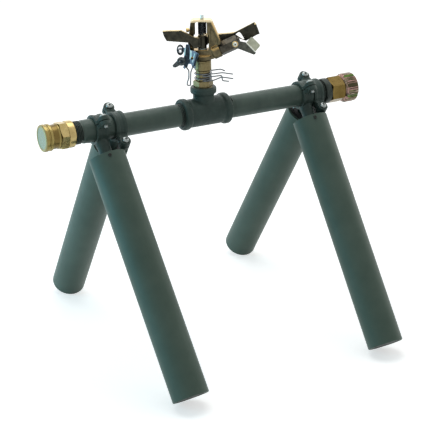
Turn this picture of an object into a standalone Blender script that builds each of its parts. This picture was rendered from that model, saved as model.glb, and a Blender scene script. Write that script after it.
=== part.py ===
"""Impulse sprinkler on a four-legged stand of pipe.

Units are metres with +Z up. The origin is the middle of the footprint, on the ground.
X runs along the water pipe, from the capped outlet (-X) to the hose swivel (+X).
Each joint has an empty on its axis, and the pieces that turn on it are its children.
"""

import math

import bmesh
import bpy
from mathutils import Matrix, Vector

MM = 0.001
CLEAR = 0.3 * MM

# Water pipe, along X, and the stand
PIPE_OD = 26.67 * MM
PIPE_WALL = 2.87 * MM
PIPE_GRIP = 14 * MM
LEFT_PIPE_END = 180 * MM
RIGHT_PIPE_END = 181 * MM
LEG_OD = 42.16 * MM
LEG_WALL = 3.56 * MM
LEG_REACH = 318.7 * MM
LEG_MOUTH = 32 * MM
SPREAD = math.radians(35.2)
FOOT_CHAMFER = 1.0 * MM
# Each leg: side of the pipe (-1 front, 1 back), place along the pipe from the tee, lean along +X
LEGS = {
    "front_left": (-1, -136.1 * MM, math.radians(2.9)),
    "front_right": (-1, 135.2 * MM, math.radians(0.4)),
    "back_left": (1, -112.7 * MM, math.radians(0.7)),
    "back_right": (1, 150.6 * MM, math.radians(0.0)),
}

# Leg plugs and the screw that holds the upper one
PLUG_RECESS = 1.2 * MM
PLUG_LENGTH = 18 * MM
SOCKET_DEPTH = 12 * MM
FOOT_PLUG_LENGTH = 10 * MM
FOOT_PLUG_RECESS = 0.5 * MM
PLUG_SCREW_R = 1.3 * MM
PLUG_SCREW_HEAD_R = 2.0 * MM
PLUG_SCREW_HEAD_H = 1.2 * MM
PLUG_SCREW_LENGTH = 10 * MM
PLUG_SCREW_DROP = 4.5 * MM
PLUG_SCREW_TURN = math.radians(14)

# Split clamps on the pipe
CLAMP_WALL = 3.4 * MM
CLAMP_WIDTH = 14 * MM
CLAMP_SPLIT = 0.8 * MM
EAR_THICK = 5.0 * MM
EAR_TIP_R = 6.0 * MM
CLAMP_SCREW_R = 2.4 * MM
CLAMP_SCREW_OFFSET = 25.3 * MM
CLAMP_SCREW_HEAD_R = 4.0 * MM
CLAMP_SCREW_HEAD_H = 2.6 * MM
CLAMP_SCREW_PROUD = 2.0 * MM
BOSS_R = 7.5 * MM

# Tee: the run takes the pipes, the branch takes the sprinkler
TEE_RUN = 30.5 * MM
TEE_BEAD_OD = 37 * MM
TEE_BEAD_W = 8 * MM
TEE_BODY_OD = 33.4 * MM
TEE_BORE_R = 11.4 * MM
BRANCH_TOP = 30.5 * MM
BRANCH_BEAD_OD = 30.7 * MM
BRANCH_BEAD_H = 7.5 * MM
BRANCH_NECK_OD = 24.6 * MM
NIPPLE_THREAD_R = 10.6 * MM
NIPPLE_GRIP = 15 * MM

# Brass ends of the pipe
END_HEX_AF = 28.6 * MM
OUTLET_BARREL_R = 15.4 * MM
OUTLET_BARREL_LENGTH = 10.5 * MM
OUTLET_HEX_LENGTH = 7 * MM
OUTLET_HEX_TURN = math.radians(8.4)
HOSE_THREAD_R = 13.1 * MM
HOSE_THREAD_LENGTH = 9 * MM
WASHER_THICK = 3 * MM
WATERWAY_R = 8 * MM
CAP_R = 15.5 * MM
CAP_BARREL_R = 14.5 * MM
CAP_END = 6.1 * MM
COLLAR_R = 15.5 * MM
COLLAR_W = 8.2 * MM
RIGHT_HEX_LENGTH = 18.7 * MM
NUT_R = 17.8 * MM
NUT_FLUTE_R = 3.0 * MM
NUT_FLUTES = 8
NUT_LENGTH = 17.2 * MM
NUT_BACK = 4.4 * MM
SWIVEL_NECK_R = 10.5 * MM
SWIVEL_LIP_R = 12.6 * MM
SWIVEL_LIP_W = 2.5 * MM

# Sprinkler. Heights are above the pipe's axis; the nozzle points along the head's own +X
HEAD_YAW = math.radians(-28.4)
NIPPLE_HEX_R = 11.7 * MM
NIPPLE_HEX_BASE = 31.0 * MM
NIPPLE_HEX_TOP = 38.0 * MM
NIPPLE_SEAT_R = 8.4 * MM
NIPPLE_SEAT_TOP = 49.8 * MM
NIPPLE_TUBE_R = 6.2 * MM
NIPPLE_BORE_R = 4.6 * MM
NIPPLE_TOP = 66.0 * MM
NIPPLE_LIP_R = 8.2 * MM
NIPPLE_LIP_H = 1.6 * MM
BEARING_R = 9.9 * MM
BEARING_WALL = 1.1 * MM
BEARING_FLOOR = 2.0 * MM
BASE_BOTTOM = 62.2 * MM
BASE_R = 11.6 * MM
BASE_TOP = 68.4 * MM
CAVITY_TOP = 68.0 * MM
BRIDGE_DEPTH = 13.4 * MM
BRIDGE_TOP = 109.7 * MM
BRIDGE_PLATE = 2.4 * MM
WINDOW_FLOOR = 74.5 * MM
WINDOW_LEFT = -9.7 * MM
WINDOW_RIGHT = 7.2 * MM
PIN_R = 1.6 * MM
PIN_SEAT = 4.0 * MM
PIN_HEAD_R = 2.3 * MM
PIN_HEAD_H = 4.7 * MM
ARM_WASHER_H = 1.0 * MM
ARM_WASHER_R = 5.4 * MM
HUB_R = 5.0 * MM
HUB_TOP = 91.0 * MM
ARM_SPRING_R = 4.35 * MM
ARM_SPRING_WIRE = 1.3 * MM
ARM_SPRING_PITCH = 2.0 * MM
BEARING_SPRING_R = 7.5 * MM
BEARING_SPRING_WIRE = 1.0 * MM
BEARING_SPRING_PITCH = 2.4 * MM
PEG_HEIGHT = 97.0 * MM
PEG_R = 1.3 * MM
PEG_HEAD_R = 2.6 * MM
PEG_HEAD_W = 3.4 * MM

# Nozzle: its axis rises from the head's vertical axis at NOZZLE_ROOT
NOZZLE_RISE = math.radians(24)
NOZZLE_ROOT = 64.8 * MM
NOZZLE_START = 22.4 * MM
NOZZLE_LENGTH = 22.4 * MM
NOZZLE_HEX_R = 8.2 * MM
NOZZLE_THREAD_R = 5.6 * MM
NOZZLE_THREAD_LENGTH = 8 * MM
NOZZLE_TIP_R = 4.6 * MM
NOZZLE_TIP_LENGTH = 2.2 * MM
NOZZLE_MOUTH_R = 2.2 * MM
NOZZLE_BOSS_R = 8.4 * MM
PASSAGE_R = 4.0 * MM

# Drive arm and the flap at the nozzle
ARM_THICK = 5.6 * MM
SPOON_THICK = 1.6 * MM
FLAP_THICK = 1.2 * MM
FLAP_PIVOT_X = 37.6 * MM
FLAP_EYE_R = 4.6 * MM
FLAP_TAB_LENGTH = 15 * MM
FLAP_TAB_WIDTH = 9 * MM
FLAP_SCREW_R = 1.5 * MM
FLAP_SCREW_HEAD_R = 2.8 * MM
FLAP_SCREW_HEAD_H = 1.8 * MM
FLAP_SCREW_DEPTH = 2.2 * MM

# Trip mechanism, in front of the bearing
TRIP_THICK = 1.2 * MM
TRIP_FRONT = 12.7 * MM
TRIP_PIVOT = Vector((-12 * MM, 0, 67 * MM))
TRIP_PIVOT_R = 1.6 * MM
TRIP_BOSS_R = 3.2 * MM
TRIP_PEG = Vector((-25.3 * MM, 0, 76.4 * MM))
TRIP_PEG_R = 2.6 * MM
TRIP_SPRING_R = 4.1 * MM
TRIP_SPRING_WIRE = 1.2 * MM
TRIP_SPRING_PITCH = 1.75 * MM
HAMMER_AXIS = Vector((-24.4 * MM, 0, 64.2 * MM))
HAMMER_R = 5.0 * MM
HAMMER_W = 4.0 * MM
HAMMER_PIN_R = 1.8 * MM
TRIP_WIRE = 1.5 * MM
TRIP_WIRE_AXIS = Vector((0, -14.2 * MM, 57.0 * MM))
COLLAR_WIRE = 1.5 * MM
COLLAR_PITCH = 2.1 * MM
COLLAR_TURNS = 1.5
COLLAR_STEPS = 12

# Sizes that follow from the ones above
PIPE_R = PIPE_OD / 2
LEG_R = LEG_OD / 2
LEG_BORE_R = LEG_R - LEG_WALL
CLAMP_BORE_R = PIPE_R + CLEAR
CLAMP_R = CLAMP_BORE_R + CLAMP_WALL
END_HEX_R = END_HEX_AF / math.sqrt(3)
NOZZLE_FLAT = NOZZLE_HEX_R * math.cos(math.radians(30))
ARM_CLEAR_Y = max(BRIDGE_DEPTH / 2, NOZZLE_FLAT) + CLEAR
COLLAR_R_MEAN = (NIPPLE_SEAT_R + CLEAR + COLLAR_WIRE / 2) / math.cos(math.pi / COLLAR_STEPS)
PIPE_HEIGHT = LEG_REACH * math.cos(SPREAD) + (LEG_R - FOOT_CHAMFER) * math.sin(SPREAD)
OUTLET_START = LEFT_PIPE_END - 12.5 * MM
OUTLET_HEX_START = OUTLET_START + OUTLET_BARREL_LENGTH
OUTLET_HEX_END = OUTLET_HEX_START + OUTLET_HEX_LENGTH
LEFT_THREAD_END = OUTLET_HEX_END + HOSE_THREAD_LENGTH
LEFT_REACH = LEFT_THREAD_END + CLEAR + WASHER_THICK + CLEAR + CAP_END
RIGHT_HEX_START = RIGHT_PIPE_END - 9.7 * MM
RIGHT_HEX_END = RIGHT_HEX_START + RIGHT_HEX_LENGTH
RIGHT_REACH = RIGHT_HEX_END + CLEAR + NUT_LENGTH
TEE_X = (LEFT_REACH - RIGHT_REACH) / 2

PARTS = None
CUTTERS = None


def start_scene():
    """Empties the scene and makes one collection for the pieces and one for the cutters."""
    global PARTS, CUTTERS
    for old in list(bpy.data.objects):
        bpy.data.objects.remove(old, do_unlink=True)
    PARTS = bpy.data.collections.new("impulse_sprinkler")
    CUTTERS = bpy.data.collections.new("cutters")
    for collection in (PARTS, CUTTERS):
        bpy.context.scene.collection.children.link(collection)


def finish(name, color, roughness, metallic):
    """A Principled material; its colour is given as linear red, green and blue."""
    material = bpy.data.materials.new(name)
    material.use_nodes = True
    shader = material.node_tree.nodes["Principled BSDF"]
    shader.inputs["Base Color"].default_value = (*color, 1)
    shader.inputs["Roughness"].default_value = roughness
    shader.inputs["Metallic"].default_value = metallic
    material.diffuse_color = (*color, 1)
    return material


def turned_to(origin, z, x=None):
    """Matrix whose local Z points along z and whose local X lies as near to x as it can."""
    z = Vector(z).normalized()
    x = Vector(x) if x else (Vector((0, 0, 1)) if abs(z.z) < 0.9 else Vector((1, 0, 0)))
    x = (x - z * x.dot(z)).normalized()
    y = z.cross(x)
    turn = Matrix((x, y, z)).transposed().to_4x4()
    return Matrix.Translation(Vector(origin)) @ turn


def axis_empty(name, parent, matrix):
    empty = bpy.data.objects.new(name, None)
    empty.empty_display_size = 0.01
    PARTS.objects.link(empty)
    empty.parent = parent
    empty.matrix_local = matrix
    return empty


def piece(name, mesh, parent, matrix, material):
    """Adds a mesh as a piece, or as a hidden cutter if it has no material."""
    obj = bpy.data.objects.new(name, mesh)
    (PARTS if material else CUTTERS).objects.link(obj)
    obj.parent = parent
    obj.matrix_local = matrix or Matrix()
    mesh.shade_smooth()
    mesh.set_sharp_from_angle(angle=math.radians(35))
    if material:
        mesh.materials.append(material)
        obj.color = material.diffuse_color
    else:
        obj.hide_render = True
        obj.display_type = "WIRE"
    return obj


def evaluated_mesh(temporary, name):
    """The mesh that an object's modifiers or curve make, welded; the object is removed."""
    bpy.context.scene.collection.objects.link(temporary)
    graph = bpy.context.evaluated_depsgraph_get()
    mesh = bpy.data.meshes.new_from_object(temporary.evaluated_get(graph))
    mesh.name = name
    bpy.data.objects.remove(temporary)
    shape = bmesh.new()
    shape.from_mesh(mesh)
    bmesh.ops.remove_doubles(shape, verts=shape.verts, dist=0.002 * MM)
    shape.to_mesh(mesh)
    shape.free()
    return mesh


def turned(name, profile, parent=None, matrix=None, material=None, steps=28):
    """A turned piece. The profile's (radius, height) points run down its outer side."""
    outline = bpy.data.meshes.new(name)
    closed = all(radius > 0 for radius, _ in profile)
    count = len(profile)
    edges = [(i, (i + 1) % count) for i in range(count if closed else count - 1)]
    outline.from_pydata([(radius, 0, height) for radius, height in profile], edges, [])
    temporary = bpy.data.objects.new(name, outline)
    screw = temporary.modifiers.new("turn", "SCREW")
    screw.axis = "Z"
    screw.angle = math.tau
    screw.steps = steps
    screw.render_steps = steps
    screw.use_merge_vertices = True
    screw.merge_threshold = 0.00001
    return piece(name, evaluated_mesh(temporary, name), parent, matrix, material)


def disc(name, radius, low, high, parent=None, matrix=None, material=None, steps=28):
    """A plain round bar from height low to height high."""
    profile = [(0, high), (radius, high), (radius, low), (0, low)]
    return turned(name, profile, parent, matrix, material, steps)


def plate(name, outlines, thickness, parent=None, matrix=None, material=None):
    """A flat plate in local XY. The first outline is its edge and the others are holes."""
    data = bpy.data.curves.new(name, "CURVE")
    data.dimensions = "2D"
    data.fill_mode = "BOTH"
    data.extrude = thickness / 2
    for outline in outlines:
        spline = data.splines.new("POLY")
        spline.points.add(len(outline) - 1)
        for point, (x, y) in zip(spline.points, outline):
            point.co = (x, y, 0, 1)
        spline.use_cyclic_u = True
    temporary = bpy.data.objects.new(name, data)
    return piece(name, evaluated_mesh(temporary, name), parent, matrix, material)


def block(name, low, high, parent=None, matrix=None, material=None):
    """A box between two corners."""
    low = Vector(low)
    high = Vector(high)
    shape = bmesh.new()
    bmesh.ops.create_cube(shape, size=1)
    size = high - low
    scale = Matrix.Diagonal((size.x, size.y, size.z, 1))
    shape.transform(Matrix.Translation((low + high) / 2) @ scale)
    mesh = bpy.data.meshes.new(name)
    shape.to_mesh(mesh)
    shape.free()
    return piece(name, mesh, parent, matrix, material)


def wire(name, points, diameter, parent, material, resolution=2):
    """A round wire along the points, with closed ends."""
    data = bpy.data.curves.new(name, "CURVE")
    data.dimensions = "3D"
    data.bevel_depth = diameter / 2
    data.bevel_resolution = resolution
    data.use_fill_caps = True
    spline = data.splines.new("POLY")
    spline.points.add(len(points) - 1)
    for point, place in zip(spline.points, points):
        point.co = (*place, 1)
    spline.use_smooth = True
    data.materials.append(material)
    obj = bpy.data.objects.new(name, data)
    PARTS.objects.link(obj)
    obj.parent = parent
    obj.color = material.diffuse_color
    return obj


def boolean(obj, other, operation):
    modifier = obj.modifiers.new(other.name, "BOOLEAN")
    modifier.operation = operation
    modifier.solver = "EXACT"
    modifier.object = other


def join(obj, *others):
    for other in others:
        boolean(obj, other, "UNION")


def cut(obj, *others):
    for other in others:
        boolean(obj, other, "DIFFERENCE")


def circle(radius, steps, centre=(0, 0)):
    """Outline of a circle."""
    turn = [math.tau * i / steps for i in range(steps)]
    return [(centre[0] + radius * math.cos(t), centre[1] + radius * math.sin(t)) for t in turn]


def arc(centre, radius, start, end, steps):
    """Points of an arc, its angles in degrees."""
    turn = [math.radians(start + (end - start) * i / steps) for i in range(steps + 1)]
    return [(centre[0] + radius * math.cos(t), centre[1] + radius * math.sin(t)) for t in turn]


def coil(radius, pitch, turns, base, start=0.0, steps=10):
    """Points of a helix about local Z, the start angle in radians."""
    count = round(turns * steps)
    turn = [i / steps for i in range(count + 1)]
    return [
        Vector((
            radius * math.cos(start + math.tau * t),
            radius * math.sin(start + math.tau * t),
            base + pitch * t,
        ))
        for t in turn
    ]


def bent(points, radius, steps=2):
    """The path through the points with its corners rounded."""
    points = [Vector(p) for p in points]
    path = [points[0]]
    for before, corner, after in zip(points, points[1:], points[2:]):
        back = before - corner
        ahead = after - corner
        reach = min(radius, back.length / 2, ahead.length / 2)
        enter = corner + back.normalized() * reach
        leave = corner + ahead.normalized() * reach
        for i in range(steps + 1):
            t = i / steps
            path.append(enter * (1 - t) ** 2 + corner * 2 * t * (1 - t) + leave * t**2)
    path.append(points[-1])
    return [p for i, p in enumerate(path) if i == 0 or (p - path[i - 1]).length > 0.05 * MM]


def least_gap(name, points, diameter, steps):
    """Prints how near a coil's tube comes to itself, at points half a turn or more apart."""
    far = steps // 2
    near = min(
        (a - b).length for i, a in enumerate(points) for b in points[i + far:]
    )
    print(f"{name}: least gap to itself {(near - diameter) / MM:.2f} mm")


def upright(depth):
    """Matrix that stands a plate in the head's XZ plane, its middle at the given Y."""
    return Matrix.Translation((0, depth, 0)) @ Matrix.Rotation(math.radians(90), 4, "X")


def make_pipes(steel, stand):
    """The two lengths of water pipe, which meet inside the tee."""
    inner = PIPE_R - PIPE_WALL
    spans = {
        "left_pipe": (-LEFT_PIPE_END, PIPE_GRIP - TEE_RUN),
        "right_pipe": (TEE_RUN - PIPE_GRIP, RIGHT_PIPE_END),
    }
    for name, (low, high) in spans.items():
        profile = [(inner, high), (PIPE_R, high), (PIPE_R, low), (inner, low)]
        turned(name, profile, stand, turned_to((0, 0, 0), (1, 0, 0)), steel)


def make_tee(iron, stand):
    """Malleable tee with a bead at each mouth."""
    along = turned_to((0, 0, 0), (1, 0, 0))
    bead = TEE_BEAD_OD / 2
    body = TEE_BODY_OD / 2
    groove = body - 0.6 * MM
    edge = 1.2 * MM
    half = [
        (bead - edge, TEE_RUN),
        (bead, TEE_RUN - edge),
        (bead, TEE_RUN - TEE_BEAD_W + edge),
        (bead - edge, TEE_RUN - TEE_BEAD_W),
        (groove, TEE_RUN - TEE_BEAD_W - edge),
        (body, TEE_RUN - TEE_BEAD_W - 3 * edge),
    ]
    mirrored = [(radius, -height) for radius, height in reversed(half)]
    run = [(0, TEE_RUN), *half, *mirrored, (0, -TEE_RUN)]
    tee = turned("tee", run, stand, along, iron)
    bead = BRANCH_BEAD_OD / 2
    neck = BRANCH_NECK_OD / 2
    branch = [
        (0, BRANCH_TOP),
        (bead - edge, BRANCH_TOP),
        (bead, BRANCH_TOP - edge),
        (bead, BRANCH_TOP - BRANCH_BEAD_H + edge),
        (bead - edge, BRANCH_TOP - BRANCH_BEAD_H),
        (neck, BRANCH_TOP - BRANCH_BEAD_H - edge),
        (neck, 0),
        (0, 0),
    ]
    join(tee, turned("tee_branch", branch, stand))
    socket = PIPE_R + CLEAR
    stop = TEE_RUN - PIPE_GRIP - CLEAR
    past = TEE_RUN + 5 * MM
    bore = [(0, past), (socket, past), (socket, stop), (TEE_BORE_R, stop)]
    bore += [(TEE_BORE_R, -stop), (socket, -stop), (socket, -past), (0, -past)]
    cut(tee, turned("tee_run_bore", bore, stand, along))
    thread = NIPPLE_THREAD_R + CLEAR
    cut(tee, disc("tee_branch_bore", thread, 0, past, stand, None, None, 24))


def hexagon_bar(name, radius, low, high, parent, matrix, material=None):
    """A six-sided bar, its corners at the given radius."""
    return disc(name, radius, low, high, parent, matrix, material, 6)


def make_outlet(brass, rubber, stand):
    """Brass adapter on the left pipe and the cap that closes its hose thread."""
    outward = turned_to((0, 0, 0), (-1, 0, 0), (0, -math.cos(OUTLET_HEX_TURN), math.sin(OUTLET_HEX_TURN)))
    edge = 0.8 * MM
    thread = HOSE_THREAD_R
    barrel = OUTLET_BARREL_R
    turning = [
        (0, LEFT_THREAD_END),
        (thread - edge, LEFT_THREAD_END),
        (thread, LEFT_THREAD_END - edge),
        (thread, OUTLET_HEX_START + edge),
        (barrel - 1.5 * edge, OUTLET_HEX_START + edge),
        (barrel, OUTLET_HEX_START - edge),
        (barrel, OUTLET_START + edge),
        (barrel - edge, OUTLET_START),
        (0, OUTLET_START),
    ]
    adapter = turned("outlet_adapter", turning, stand, outward, brass, 32)
    join(adapter, hexagon_bar("outlet_hexagon", END_HEX_R, OUTLET_HEX_START, OUTLET_HEX_END, stand, outward))
    socket = PIPE_R + CLEAR
    deep = LEFT_PIPE_END + CLEAR
    bore = [
        (0, LEFT_THREAD_END + 2 * MM),
        (WATERWAY_R, LEFT_THREAD_END + 2 * MM),
        (WATERWAY_R, deep),
        (socket, deep),
        (socket, OUTLET_START - 2 * MM),
        (0, OUTLET_START - 2 * MM),
    ]
    cut(adapter, turned("outlet_bore", bore, stand, outward))

    washer_low = LEFT_THREAD_END + CLEAR
    washer_high = washer_low + WASHER_THICK
    ring = [(WATERWAY_R, washer_high), (thread, washer_high), (thread, washer_low), (WATERWAY_R, washer_low)]
    turned("cap_washer", ring, stand, outward, rubber, 24)

    turning = axis_empty("axis_hose_cap", stand, outward)
    inside = thread + CLEAR
    floor = washer_high + CLEAR
    mouth = OUTLET_HEX_END + CLEAR
    edge = 1.2 * MM
    bead = 1.6 * MM
    barrel = CAP_BARREL_R
    waist = barrel - 0.5 * MM
    cap = [
        (0, LEFT_REACH),
        (CAP_R - edge, LEFT_REACH),
        (CAP_R, LEFT_REACH - edge),
        (CAP_R, floor + 0.5 * MM),
        (waist, floor - 0.7 * MM),
        (waist, floor - 1.8 * MM),
        (barrel, floor - 2.6 * MM),
        (barrel, floor - 2.6 * MM - bead),
        (waist, mouth + bead),
        (barrel, mouth + 0.5 * MM),
        (barrel, mouth),
        (inside, mouth),
        (inside, floor),
        (0, floor),
    ]
    turned("hose_cap", cap, turning, None, brass)


def make_inlet(iron, brass, nut_brass, rubber, stand):
    """Dark collar, brass hexagon and the fluted swivel nut that the hose screws into."""
    outward = turned_to((0, 0, 0), (1, 0, 0), (0, 0, 1))
    socket = PIPE_R + CLEAR
    high = RIGHT_HEX_START - CLEAR
    low = high - COLLAR_W
    edge = 1.4 * MM
    ring = [
        (socket, high),
        (COLLAR_R - edge, high),
        (COLLAR_R, high - edge),
        (COLLAR_R, low + edge),
        (COLLAR_R - edge, low),
        (socket, low),
    ]
    turned("inlet_collar", ring, stand, outward, iron)

    lip_low = RIGHT_HEX_END + CLEAR + NUT_BACK + CLEAR
    lip_high = lip_low + SWIVEL_LIP_W
    adapter = hexagon_bar(
        "inlet_adapter", END_HEX_R, RIGHT_HEX_START, RIGHT_HEX_END, stand, outward, brass
    )
    nose = [
        (0, lip_high),
        (SWIVEL_LIP_R, lip_high),
        (SWIVEL_LIP_R, lip_low),
        (SWIVEL_NECK_R, lip_low),
        (SWIVEL_NECK_R, RIGHT_HEX_END - 2 * MM),
        (0, RIGHT_HEX_END - 2 * MM),
    ]
    join(adapter, turned("inlet_nose", nose, stand, outward, None, 24))
    deep = RIGHT_PIPE_END + CLEAR
    bore = [
        (0, lip_high + 2 * MM),
        (WATERWAY_R, lip_high + 2 * MM),
        (WATERWAY_R, deep),
        (socket, deep),
        (socket, RIGHT_HEX_START - 2 * MM),
        (0, RIGHT_HEX_START - 2 * MM),
    ]
    cut(adapter, turned("inlet_bore", bore, stand, outward))

    turning = axis_empty("axis_swivel_nut", stand, outward)
    inside = HOSE_THREAD_R + CLEAR
    washer_low = lip_high + CLEAR
    washer_high = washer_low + WASHER_THICK
    rim = [(WATERWAY_R, washer_high), (HOSE_THREAD_R, washer_high), (HOSE_THREAD_R, washer_low)]
    rim += [(WATERWAY_R, washer_low)]
    turned("inlet_washer", rim, turning, None, rubber, 24)
    back = RIGHT_HEX_END + CLEAR
    hole = SWIVEL_NECK_R + CLEAR
    cavity = back + NUT_BACK
    shoulder = NUT_R - 3.6 * MM
    shell = [
        (inside, RIGHT_REACH),
        (NUT_R - 1 * MM, RIGHT_REACH),
        (NUT_R, RIGHT_REACH - 1 * MM),
        (NUT_R, back + 3.4 * MM),
        (shoulder, back),
        (hole, back),
        (hole, cavity),
        (inside, cavity),
    ]
    nut = turned("swivel_nut", shell, turning, None, nut_brass, 32)
    for i in range(NUT_FLUTES):
        turn = math.tau * (i + 0.5) / NUT_FLUTES
        reach = NUT_R + NUT_FLUTE_R - 1.3 * MM
        place = Matrix.Translation((reach * math.cos(turn), reach * math.sin(turn), 0))
        low = back - 2 * MM
        high = RIGHT_REACH + 2 * MM
        cut(nut, disc(f"nut_flute_{i}", NUT_FLUTE_R, low, high, turning, place, None, 12))


def clamp_half(name, hinge, width_side, material):
    """One half of a split clamp; width_side is 1 above the split and -1 on the leg's side."""
    across = turned_to((0, 0, 0), (1, 0, 0), (0, 1, 0))
    half = CLAMP_WIDTH / 2
    edge = 1.0 * MM
    ring = [
        (0, half),
        (CLAMP_R - edge, half),
        (CLAMP_R, half - edge),
        (CLAMP_R, edge - half),
        (CLAMP_R - edge, -half),
        (0, -half),
    ]
    body = turned(name, ring, hinge, across, material, 24)
    ear = [
        *arc((0, CLAMP_SCREW_OFFSET), EAR_TIP_R, 0, 180, 6),
        *arc((0, -CLAMP_SCREW_OFFSET), EAR_TIP_R, 180, 360, 6),
    ]
    hole = CLAMP_SCREW_R + CLEAR
    holes = [circle(hole, 10, (0, sign * CLAMP_SCREW_OFFSET)) for sign in (-1, 1)]
    outlines = [ear, *holes]
    thick = EAR_THICK + CLAMP_SPLIT / 2
    lift = Matrix.Translation((0, 0, width_side * thick / 2))
    join(body, plate(name + "_ears", outlines, thick, hinge, lift))
    return body


def trim_clamp_half(body, hinge, width_side):
    """Cuts the pipe's bore and everything past the split."""
    name = body.name
    across = turned_to((0, 0, 0), (1, 0, 0), (0, 1, 0))
    big = 40 * MM
    split = CLAMP_SPLIT / 2
    if width_side > 0:
        other = block(name + "_split", (-big, -big, -2 * big), (big, big, split), hinge)
    else:
        other = block(name + "_split", (-big, -big, -split), (big, big, 2 * big), hinge)
    cut(body, other, disc(name + "_bore", CLAMP_BORE_R, -big, big, hinge, across, None, 24))


def make_screw(name, parent, matrix, material, head_r, head_h, shank_r, length):
    """Screw along local Z, the underside of its domed head at zero."""
    profile = [
        (0, head_h),
        (0.7 * head_r, head_h),
        (head_r, 0.55 * head_h),
        (head_r, 0),
        (shank_r, 0),
        (shank_r, -length),
        (0, -length),
    ]
    return turned(name, profile, parent, matrix, material, 12)


def make_leg(name, side, along, lean, steel, iron, plug, zinc, dark, stand):
    """A leg with its plugs and the split clamp that it hangs from."""
    tilt = math.acos(math.cos(SPREAD) / math.cos(lean))
    turn = Matrix.Rotation(side * tilt, 4, "X")
    hinge = axis_empty(f"axis_{name}_leg", stand, Matrix.Translation((along, 0, 0)) @ turn)
    down = Matrix.Rotation(-lean, 4, "Y")

    edge = FOOT_CHAMFER
    mouth = -LEG_MOUTH - LEG_R * math.tan(lean)
    foot = -LEG_REACH
    wall = [
        (LEG_BORE_R, mouth),
        (LEG_R, mouth),
        (LEG_R, foot + edge),
        (LEG_R - edge, foot),
        (LEG_BORE_R, foot),
    ]
    tube = turned(f"{name}_leg_tube", wall, hinge, down, steel, 32)
    screw_z = mouth - PLUG_SCREW_DROP
    toward = (side * math.sin(PLUG_SCREW_TURN), side * math.cos(PLUG_SCREW_TURN), 0)
    outward = down @ turned_to((0, 0, screw_z), toward, (0, 0, 1))
    hole_r = PLUG_SCREW_R + CLEAR
    seat = LEG_R + CLEAR
    tip = seat - PLUG_SCREW_LENGTH
    hole = disc(f"{name}_plug_screw_hole", hole_r, tip - CLEAR, 30 * MM, hinge, outward, None, 12)
    cut(tube, hole)

    plug_r = LEG_BORE_R - CLEAR
    socket_r = BOSS_R + CLEAR
    top = mouth - PLUG_RECESS
    low = top - PLUG_LENGTH
    floor = top - SOCKET_DEPTH
    body = [
        (0, floor),
        (socket_r, floor),
        (socket_r, top),
        (plug_r - 1 * MM, top),
        (plug_r, top - 1 * MM),
        (plug_r, low),
        (0, low),
    ]
    upper = turned(f"{name}_top_plug", body, hinge, down, plug, 20)
    cut(upper, hole)
    low = foot + FOOT_PLUG_RECESS
    disc(f"{name}_foot_plug", plug_r, low, low + FOOT_PLUG_LENGTH, hinge, down, plug, 20)
    make_screw(
        f"{name}_plug_screw",
        hinge,
        outward @ Matrix.Translation((0, 0, seat)),
        dark,
        PLUG_SCREW_HEAD_R,
        PLUG_SCREW_HEAD_H,
        PLUG_SCREW_R,
        PLUG_SCREW_LENGTH,
    )

    saddle = clamp_half(f"{name}_clamp_saddle", hinge, -1, iron)
    boss = [(0, -10 * MM), (BOSS_R, -10 * MM), (BOSS_R, floor + 1.3 * MM)]
    boss += [(BOSS_R - 1 * MM, floor + CLEAR), (0, floor + CLEAR)]
    join(saddle, turned(f"{name}_boss", boss, hinge, down, None, 16))
    trim_clamp_half(saddle, hinge, -1)
    cap = clamp_half(f"{name}_clamp_cap", hinge, 1, iron)
    trim_clamp_half(cap, hinge, 1)
    head_base = CLAMP_SPLIT / 2 + EAR_THICK + CLEAR
    length = head_base + CLAMP_SPLIT / 2 + EAR_THICK + CLAMP_SCREW_PROUD
    for place, sign in (("upper", side), ("lower", -side)):
        make_screw(
            f"{name}_clamp_screw_{place}",
            hinge,
            Matrix.Translation((0, sign * CLAMP_SCREW_OFFSET, head_base)),
            zinc,
            CLAMP_SCREW_HEAD_R,
            CLAMP_SCREW_HEAD_H,
            CLAMP_SCREW_R,
            length,
        )


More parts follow.
